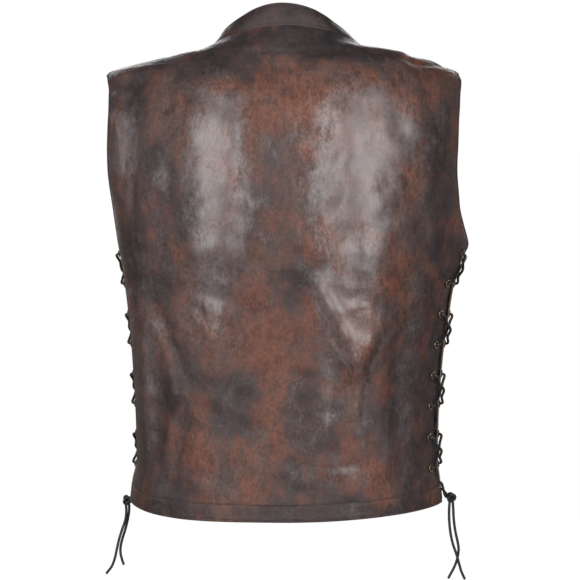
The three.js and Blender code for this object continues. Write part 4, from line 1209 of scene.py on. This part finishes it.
def collar_shell():
    """The stand collar as a wall, rounded off all round, its lower edge tucked into the neck seam."""
    sizes = bpy.context.scene.vest_sizes
    thickness = sizes.leather / MM
    end = math.degrees(COLLAR_END_GAP / COLLAR_TOP["right"])
    near = np.degrees(NEAR_END / COLLAR_RADIUS)
    plain = np.linspace(-90 + end + near[-1], 270 - end - near[-1], COLLAR_COLUMNS)[1:-1]
    angles = np.concatenate([-90 + end + near, plain, 270 - end - near[::-1]])
    angle, t = np.meshgrid(angles, COLLAR_ROWS)
    base, normal = collar_surface(angle, t)
    ends = np.minimum(border_distance(base, base[:, 0]), border_distance(base, base[:, -1]))
    free = np.minimum(border_distance(base, base[-1]), ends)
    edge = np.minimum(border_distance(base, base[0]), free)
    from_row = free - sizes.edge_row / MM
    raised = sizes.turned_edge / MM * (1 - smoothstep(from_row, *TURNED_FADE))
    raised = (raised + groove(from_row, *COLLAR_GROOVE)) * smoothstep(edge, 0, SETTLE)
    drop = np.where(edge < free, rim_drop(edge, SEAM_ROUND), rim_drop(edge, thickness / 2))
    outer = base + normal * (raised - drop)[..., None]
    inner = base + normal * (drop - thickness)[..., None]
    whole = np.zeros((angle.shape[0] - 1, angle.shape[1] - 1), dtype=bool)
    outside, inside, _ = shell_faces(*angle.shape, whole)
    even = np.ones(free.shape)
    shares = {"edge": free, "rust": COLLAR_WORN * even, "wax": COLLAR_WAXED * even,
              "polish_and_painted_sheen": COLLAR_DULL * even}
    return sheet_piece("collar", outer, inner, np.concatenate([outside, inside]), shares)


def inset_line(angle, level, distance):
    """A line on the leather moved sideways. The sideways direction is the normal cross the run, and
    its step in angle and level solves two equations on the surface's two tangents."""
    point = body_point(angle, level)
    run = unit(np.gradient(point, axis=0))
    aside = np.cross(body_normal(angle, level), run) * distance
    by_angle = body_point(angle + 0.5, level) - body_point(angle - 0.5, level)
    by_level = body_point(angle, level + 0.5) - body_point(angle, level - 0.5)
    aa, al, ll = (by_angle ** 2).sum(-1), (by_angle * by_level).sum(-1), (by_level ** 2).sum(-1)
    wa, wl = (aside * by_angle).sum(-1), (aside * by_level).sum(-1)
    whole = aa * ll - al * al
    return angle + (wa * ll - wl * al) / whole, level + (wl * aa - wa * al) / whole


def stitch_row(place_on, first, second, pitch):
    """Centre, run and normal of each stitch at even distances along a line given by two values."""
    line = place_on(first, second)[0]
    run = np.concatenate([[0], np.cumsum(length(np.diff(line, axis=0))[:, 0])])
    count = max(1, int(run[-1] / pitch))
    at = (np.arange(count) + 0.5) * run[-1] / count
    centre, normal = place_on(np.interp(at, run, first), np.interp(at, run, second))
    ahead = place_on(np.interp(at + 0.6, run, first), np.interp(at + 0.6, run, second))[0]
    behind = place_on(np.interp(at - 0.6, run, first), np.interp(at - 0.6, run, second))[0]
    return centre, unit(ahead - behind), normal


def stitch_mesh(name, rows):
    """Joined stitches: a thin round section along each, its ends drawn down into the leather."""
    sizes = bpy.context.scene.vest_sizes
    centre, run, normal = (np.concatenate(parts) for parts in zip(*rows))
    aside = np.cross(run, normal)
    share = np.array([-1, -0.82, 0, 0.82, 1])
    swell = np.array([0.5, 0.95, 1.1, 0.95, 0.5]) * sizes.thread / MM / 2
    lift = np.array([-0.42, 0.02, 0.2, 0.02, -0.42])
    sides = 5
    turn = np.linspace(0, 2 * math.pi, sides, endpoint=False)
    spine = (centre[:, None] + run[:, None] * (share * sizes.stitch / MM / 2)[None, :, None]
             + normal[:, None] * lift[None, :, None])
    ring = (aside[:, None, None] * np.cos(turn)[None, None, :, None]
            + normal[:, None, None] * np.sin(turn)[None, None, :, None])
    points = spine[:, :, None] + ring * swell[None, :, None, None]
    size = (len(centre), len(share), sides)
    piece = add_object(name, points.reshape(-1, 3), [grid_faces(*size), cap_faces(*size)],
                       [finish_named("thread", thread_material)])
    return place(piece, "leather")


def leather_row(height):
    """How to lay stitches at that height over the leather."""
    return lambda angle, level: surface(angle, level, height, fine=True)


def panel_stitches(name):
    """Rows beside the laced edges and armholes, on the back beside the shoulder seam, twice round the
    hem, and on a front down its middle edge."""
    sizes = bpy.context.scene.vest_sizes
    pitch, edge_row, hem_row = sizes.stitch_pitch / MM, sizes.edge_row / MM, sizes.hem_row / MM
    rows = []

    def add_row(angle, level, inset, height):
        rows.append(stitch_row(leather_row(height), *inset_line(angle, level, inset), pitch))

    side_level = np.concatenate([np.linspace(HEM_LEVEL + FROM_HEM, TIP_LEVEL - TIP_BEND, ROW_SAMPLES),
                                 np.linspace(TIP_LEVEL - TIP_BEND, TIP_LEVEL - FROM_TIP, TIP_SAMPLES)[1:]])
    seam_level = np.linspace(TIP_LEVEL + FROM_SEAM_ENDS[0], NECK_LEVEL - FROM_SEAM_ENDS[1], SEAM_SAMPLES)
    panel, sides = panel_sides(name)
    for side in sides:
        inward = (1 if side == "right" else -1) * (1 if panel == "back" else -1)
        for level in (side_level, seam_level) if panel == "back" else (side_level,):
            add_row(side_angle(panel, side, level), level, edge_row * inward, EDGE_STITCH)
    start, stop = panel_ends(name, np.array([HEM_LEVEL]))
    angle = np.linspace(start[0] + FROM_HEM_ENDS, stop[0] - FROM_HEM_ENDS, ROW_SAMPLES)
    for inset, height in zip((edge_row, hem_row), HEM_STITCHES):
        add_row(angle, np.full(ROW_SAMPLES, HEM_LEVEL), -inset, height)
    if panel == "front":
        sign = -1 if name == "front_left" else 1
        level = np.linspace(HEM_LEVEL + FROM_HEM, NECK_LEVEL - FROM_NECK, ROW_SAMPLES)
        height = EDGE_STITCH if sign < 0 else EDGE_STITCH - LAP_STEP
        add_row(front_angle(level, -sign * LAP), level, edge_row * sign, height)
    return stitch_mesh(f"stitching_{name}", rows)


def collar_stitches():
    """A row below the top edge, one above the neck seam and one up each end."""
    sizes = bpy.context.scene.vest_sizes
    pitch, edge_row = sizes.stitch_pitch / MM, sizes.edge_row / MM
    end = math.degrees(COLLAR_END_GAP / COLLAR_TOP["right"])
    inset = math.degrees(edge_row / COLLAR_END_RADIUS)
    angle = np.linspace(-90 + end + inset, 270 - end - inset, ROW_SAMPLES)
    base, _ = collar_surface(angle, np.zeros(ROW_SAMPLES))
    tall = length(collar_surface(angle, np.ones(ROW_SAMPLES))[0] - base)[:, 0]

    def place_on(along, t):
        return collar_surface(along, t, COLLAR_STITCH)

    rows = [stitch_row(place_on, angle, 1 - edge_row / tall, pitch),
            stitch_row(place_on, angle, 0.9 * edge_row / tall, pitch)]
    up = np.linspace(0.2, 0.8, END_SAMPLES)
    for end_angle in (angle[0], angle[-1]):
        rows.append(stitch_row(place_on, np.full(END_SAMPLES, end_angle), up, pitch))
    return stitch_mesh("stitching_collar", rows)


def turned_profiles(points, normals, profile, sides):
    """Equal turned pieces: each profile point (radius, height) swept round the normal at its place."""
    seed = np.where(np.abs(normals[:, 2:3]) < 0.8, np.array([[0.0, 0.0, 1.0]]), np.array([[1.0, 0.0, 0.0]]))
    across = unit(np.cross(normals, seed))
    third = np.cross(normals, across)
    turn = np.linspace(0, 2 * math.pi, sides, endpoint=False)
    ring = (across[:, None] * np.cos(turn)[None, :, None] + third[:, None] * np.sin(turn)[None, :, None])
    radius, height = profile[:, 0], profile[:, 1]
    return (points[:, None, None] + ring[:, None] * radius[None, :, None, None]
            + (normals[:, None] * height[None, :, None])[:, :, None])


# Closed section of an eyelet: rolled flange outside, barrel, rolled foot inside
EYELET_PROFILE = np.array([
    (5.15, 0.35), (5.15, 0.62), (4.95, 0.95), (4.5, 1.28), (3.95, 1.48), (3.4, 1.45), (2.95, 1.15),
    (2.7, 0.6), (2.65, -0.4), (2.65, -2.2), (2.8, -3.0), (3.2, -3.5), (3.8, -3.55), (4.3, -3.25),
    (4.35, -2.9), (3.9, -2.7), (3.3, -2.5), (3.15, -1.5), (3.15, 0.1), (4.0, 0.2),
])
# Snap cap: rolled rim, shallow dish and raised middle
SNAP_PROFILE = np.array([
    (0.05, 0.3), (7.1, 0.3), (7.45, 0.6), (7.6, 1.1), (7.5, 1.7), (7.0, 2.15), (6.3, 2.2), (5.8, 2.0),
    (5.3, 2.05), (4.2, 2.65), (2.8, 3.1), (1.4, 3.3), (0.05, 3.35),
])


# Sides of each, and the heights between which it is rubbed bare
EYELET_SIDES = 24
SNAP_SIDES = 40
EYELET_BARE = (0.5, 1.4)
SNAP_BARE = (1.2, 2.8)


def brass_pieces(name, nodes, spots, profile, sides, bare, closed):
    """Equal turned pieces as one, in place of their solids, with how high each ring of points stands."""
    count, rows = len(nodes), len(profile)
    points = turned_profiles(*spots, profile, sides)
    raised = np.clip((profile[:, 1] - bare[0]) / (bare[1] - bare[0]), 0, 1)
    faces = [grid_faces(count, rows, sides, wrap_rows=closed)]
    if not closed:
        faces.append(cap_faces(count, rows, sides))
    values = np.broadcast_to(raised[None, :, None], points.shape[:3])
    piece = add_object(name, points.reshape(-1, 3), faces, [finish_named("antique brass", brass_material)],
                       attributes={"raised": values})
    return place(piece, "brass", *nodes)


def eyelet_row(panel, side):
    """The eyelets of one laced edge."""
    spots = surface(eyelet_angle(panel, side), EYELET_LEVELS, 0.35, fine=True)
    nodes = [f"eyelet_{panel}{side}_{row + 1}" for row in range(len(EYELET_LEVELS))]
    return brass_pieces(f"eyelets_{panel}_{side}", nodes, spots, EYELET_PROFILE, EYELET_SIDES, EYELET_BARE,
                        closed=True)


def snap_spots():
    """Places down the centre front at even heights, found by correcting the level."""
    want = np.linspace(SNAP_TOP, SNAP_BOTTOM, SNAP_COUNT)
    level = want.copy()
    for _ in range(8):
        level += want - surface(-90.0, level)[0][:, 2]
    return surface(-90.0, level, fine=True)


def snap_row():
    """The snap caps down the centre front."""
    nodes = [f"snap_{i + 1}" for i in range(SNAP_COUNT)]
    return brass_pieces("snap_caps", nodes, snap_spots(), SNAP_PROFILE, SNAP_SIDES, SNAP_BARE, closed=False)


def leather_point(angle, level, height):
    """One point over the leather."""
    return surface(float(angle), float(level), height)[0]


def between(a, b, t, height):
    """A point over the leather at a share of the way between two spots."""
    return leather_point(a[0] + (b[0] - a[0]) * t, a[1] + (b[1] - a[1]) * t, height)


def pass_out(spot, from_inside, to_outside):
    """Points of a pass through an eyelet, from inside to outside, leaning towards its neighbours."""
    point, normal = surface(*spot)

    def turn(height, goal):
        aside = goal - point
        aside = aside - normal * aside.dot(normal)
        return point + normal * height + aside / np.linalg.norm(aside) * LACE["turn_reach"]

    return [turn(LACE["turn_in"], from_inside), point + LACE["foot"] * normal,
            point + LACE["flange"] * normal, turn(LACE["turn_out"], to_outside)]


def strand(side, start_panel, top_inside):
    """One strand from the top row down: out, across to the other panel, in, down inside, out again."""
    spots = {panel: list(zip(eyelet_angle(panel, side), EYELET_LEVELS)) for panel in ("back", "front")}
    spots["front"] = [(angle + 360 if side == "left" else angle, level) for angle, level in spots["front"]]
    points, panel, inside = [], start_panel, top_inside
    for row in range(0, 8, 2):
        other = "front" if panel == "back" else "back"
        start, goal = spots[panel][row], spots[other][row + 1]
        upper = (panel == start_panel) == (start_panel == "back")
        cross = LACE["cross_over" if upper else "cross_under"] - (LACE["top_settle"] if row == 0 else 0)
        over = [between(start, goal, 0.25, LACE["over_edge"]), between(start, goal, 0.5, cross),
                between(start, goal, 0.75, LACE["over_edge"])]
        if row + 2 < 8:
            drop = between(goal, spots[other][row + 2], 0.5, LACE["inside"])
        else:
            drop = leather_point(goal[0], goal[1] - LAST_DROP, LACE["inside"])
        points += pass_out(start, inside, over[0]) + over + pass_out(goal, drop, over[2])[::-1] + [drop]
        inside, panel = drop, other
    return points, spots[panel][7]


def lace_line(side):
    """The whole lace of one side: both strands, the bar inside the top row, and the way to the knot."""
    spots = {panel: eyelet_angle(panel, side)[0] for panel in ("back", "front")}
    turn = 360 if side == "left" else 0
    middle = between((spots["back"], EYELET_LEVELS[0]), (spots["front"] + turn, EYELET_LEVELS[0]), 0.5,
                     LACE["inside"])
    knot = np.array(KNOTS[side])
    tails = []
    for start_panel, level, shift in STRAND_EXITS:
        points, last = strand(side, start_panel, middle)
        ends = (limit("back", side, level) + limit("front", side, level)) / 2
        gap = float(ends if side == "right" else 180 - ends)
        out = np.sign(knot[0])
        points += [
            leather_point(last[0] + (gap - last[0]) * 0.5, level + 8, LACE["inside"] - 0.5),
            leather_point(gap, level + 2, -4.0),
            leather_point(gap, level, 1.0) + np.array([0, shift, 0]),
            knot + np.array([-out * (KNOT_RADIUS + KNOT_GAP), shift, KNOT_HEIGHT * 0.28 + shift]),
            knot + np.array([-out * 2.0, shift * 0.5, shift * 0.5]),
        ]
        tails.append(points)
    return smooth_line(tails[0][::-1] + [middle] + tails[1], LACE_STEP)


def lace_piece(name, line, node):
    """A stretch of lace along a line, in place of the named solid."""
    vertices, faces, uv = tube(line, bpy.context.scene.vest_sizes.lace / MM / 2, LACE_SIDES)
    piece = add_object(name, vertices, faces, [finish_named("waxed lace", lace_material)], uv=uv)
    return place(piece, "lace", node)


def knot_line(side):
    """Overhand knot: a line that winds three times round a small ring while it goes round twice."""
    t = np.linspace(0, 2 * math.pi, 150)[:-4]
    ring, wind, deep, stretch = 3.3, 1.75, 2.3, 1.15
    line = np.stack([(ring + wind * np.cos(3 * t)) * np.cos(2 * t), deep * np.sin(3 * t),
                     stretch * (ring + wind * np.cos(3 * t)) * np.sin(2 * t)], axis=-1)
    return line + np.array(KNOTS[side])


def free_end(name):
    """A free end of a lace, from the knot down."""
    route = LACE_ENDS[name]
    line = smooth_line(route, LACE_STEP)
    piece = lace_piece(f"{name}_cord", line, name)
    return piece


CAMERA_TURN = 4.0
CAMERA_DISTANCE = 2.5
CAMERA_HEIGHT = -0.31
CAMERA_ASIDE = 0.00528
PHOTO_PIXELS = 580
PIXEL_SIZE = 1.32
FRAME_WIDTH = PHOTO_PIXELS * PIXEL_SIZE * MM


class VEST_OT_camera(Operator):
    """Camera at the photograph's angle: level, behind the vest and a little to its right"""

    bl_idname = "vest.camera"
    bl_label = "Camera"

    def execute(self, context):
        turn = math.radians(CAMERA_TURN)
        data = bpy.data.cameras.new("camera")
        data.sensor_width = 36.0
        data.lens = data.sensor_width * CAMERA_DISTANCE / FRAME_WIDTH
        data.clip_end = 50.0
        camera = bpy.data.objects.new("camera", data)
        camera.location = (CAMERA_DISTANCE * math.sin(turn) + CAMERA_ASIDE * math.cos(turn),
                           -CAMERA_DISTANCE * math.cos(turn) + CAMERA_ASIDE * math.sin(turn), CAMERA_HEIGHT)
        camera.rotation_euler = (math.radians(90), 0, turn)
        context.scene.collection.objects.link(camera)
        context.scene.camera = camera
        return {"FINISHED"}


class VEST_OT_free_ends(Operator):
    """The four free ends of the laces, below the knots"""

    bl_idname = "vest.free_ends"
    bl_label = "Free ends"

    def execute(self, context):
        for name in LACE_ENDS:
            free_end(name)
        return {"FINISHED"}


class VEST_OT_back(Operator):
    """Back panel"""

    bl_idname = "vest.back"
    bl_label = "Back panel"

    def execute(self, context):
        panel_shell("back_panel")
        return {"FINISHED"}


class VEST_OT_fronts(Operator):
    """Right and left front"""

    bl_idname = "vest.fronts"
    bl_label = "Fronts"

    def execute(self, context):
        for name in ("front_right", "front_left"):
            panel_shell(name)
        return {"FINISHED"}


class VEST_OT_collar(Operator):
    """Stand collar"""

    bl_idname = "vest.collar"
    bl_label = "Collar"

    def execute(self, context):
        collar_shell()
        return {"FINISHED"}


class VEST_OT_stitching(Operator):
    """Rows of stitches on the panels and the collar"""

    bl_idname = "vest.stitching"
    bl_label = "Stitching"

    def execute(self, context):
        for name in ("back_panel", "front_right", "front_left"):
            panel_stitches(name)
        collar_stitches()
        return {"FINISHED"}


class VEST_OT_eyelets(Operator):
    """Brass eyelets down the four laced edges"""

    bl_idname = "vest.eyelets"
    bl_label = "Eyelets"

    def execute(self, context):
        for panel in ("back", "front"):
            for side in ("right", "left"):
                eyelet_row(panel, side)
        return {"FINISHED"}


class VEST_OT_lacing(Operator):
    """Laces of both sides and their knots"""

    bl_idname = "vest.lacing"
    bl_label = "Lacing"

    def execute(self, context):
        for side in ("right", "left"):
            lace_piece(f"lacing_{side}", lace_line(side), f"lace_{side}")
            lace_piece(f"knot_{side}_wound", knot_line(side), f"knot_{side}")
        return {"FINISHED"}


class VEST_OT_snaps(Operator):
    """Snap caps down the centre front"""

    bl_idname = "vest.snaps"
    bl_label = "Snaps"

    def execute(self, context):
        snap_row()
        return {"FINISHED"}


# Paper round the vest: floor radius, fillet radius, floor height and wall height, in metres
PAPER_RADIUS = 4.2
PAPER_FILLET = 1.4
PAPER_FLOOR = -0.95
PAPER_TOP = 3.4
# Soft lights: turn from the camera, elevation, distance, width, height, power
LIGHTS = [
    ("left soft light", -27, 12, 2.3, 1.35, 1.5, 38),
    ("right soft light", 21, 12, 2.3, 1.35, 1.5, 38),
    ("top soft light", 0, 72, 1.9, 1.8, 1.1, 2.5),
    ("left rim light", -80, 12, 2.4, 0.8, 1.5, 7),
    ("right rim light", 112, 12, 2.4, 0.8, 1.5, 4),
    ("front left light", -154, 22, 2.3, 1.35, 1.5, 32),
    ("front right light", 159, 22, 2.3, 1.35, 1.5, 32),
]
LIGHT_TARGET = (0.0, 0.0, -0.27)


class VEST_OT_stage(Operator):
    """Pale floor that curves up into the backdrop, and soft lights"""

    bl_idname = "vest.stage"
    bl_label = "Stage"

    def execute(self, context):
        bend = np.radians(np.linspace(0, 90, 12))
        flat = PAPER_RADIUS - PAPER_FILLET
        radius = np.concatenate([[0.02], np.linspace(0.6, flat, 5), flat + PAPER_FILLET * np.sin(bend[1:]),
                                 [PAPER_RADIUS]])
        height = np.concatenate([np.full(6, PAPER_FLOOR), PAPER_FLOOR + PAPER_FILLET * (1 - np.cos(bend[1:])),
                                 [PAPER_TOP]])
        sides = 96
        turn = np.linspace(0, 2 * math.pi, sides, endpoint=False)
        points = np.stack([radius[:, None] * np.cos(turn), radius[:, None] * np.sin(turn),
                           np.repeat(height[:, None], sides, axis=1)], axis=-1)
        faces = [grid_faces(1, len(radius), sides), np.arange(sides)[::-1].reshape(1, sides)]
        finish = finish_named("studio paper", paper_material)
        paper = add_object("studio_paper", points.reshape(-1, 3) / MM, faces, [finish])
        for name, turn_by, rise, distance, width, tall, power in LIGHTS:
            data = bpy.data.lights.new(name, "AREA")
            data.shape = "RECTANGLE"
            data.size = width
            data.size_y = tall
            data.energy = power
            light = bpy.data.objects.new(name, data)
            way = math.radians(CAMERA_TURN + turn_by - 90)
            up = math.radians(rise)
            offset = np.array([math.cos(up) * math.cos(way), math.cos(up) * math.sin(way), math.sin(up)])
            light.location = np.array(LIGHT_TARGET) + offset * distance
            light.rotation_euler = (math.radians(90) - up, 0, way + math.radians(90))
            light.visible_camera = False
            context.scene.collection.objects.link(light)
        world = bpy.data.worlds.new("soft room")
        world.use_nodes = True
        background = world.node_tree.nodes["Background"]
        background.inputs["Color"].default_value = (1, 1, 1, 1)
        background.inputs["Strength"].default_value = 0.14
        context.scene.world = world
        context.scene.view_settings.view_transform = "Standard"
        return {"FINISHED"}


class VEST_PT_panel(Panel):
    """Lists the vest's pieces, sizes and colours"""

    bl_idname = "VEST_PT_panel"
    bl_label = "Laced vest"
    bl_space_type = "VIEW_3D"
    bl_region_type = "UI"
    bl_category = "Vest"

    def draw(self, context):
        for step in STEPS:
            self.layout.operator(step.bl_idname, text=step.bl_label)
        for settings in (context.scene.vest_sizes, context.scene.vest_colours):
            box = self.layout.box()
            for key in settings.__annotations__:
                box.prop(settings, key)


# In the order of making
STEPS = (VEST_OT_camera, VEST_OT_free_ends, VEST_OT_back, VEST_OT_fronts, VEST_OT_collar, VEST_OT_stitching,
         VEST_OT_eyelets, VEST_OT_lacing, VEST_OT_snaps, VEST_OT_stage)
CLASSES = (VestSizes, VestColours, *STEPS, VEST_PT_panel)


def register():
    for item in CLASSES:
        bpy.utils.register_class(item)
    bpy.types.Scene.vest_sizes = PointerProperty(type=VestSizes)
    bpy.types.Scene.vest_colours = PointerProperty(type=VestColours)


def unregister():
    del bpy.types.Scene.vest_colours
    del bpy.types.Scene.vest_sizes
    for item in reversed(CLASSES):
        bpy.utils.unregister_class(item)


def main():
    register()
    for step in STEPS:
        getattr(bpy.ops.vest, step.bl_idname.split(".")[1])()


if __name__ == "__main__":
    main()
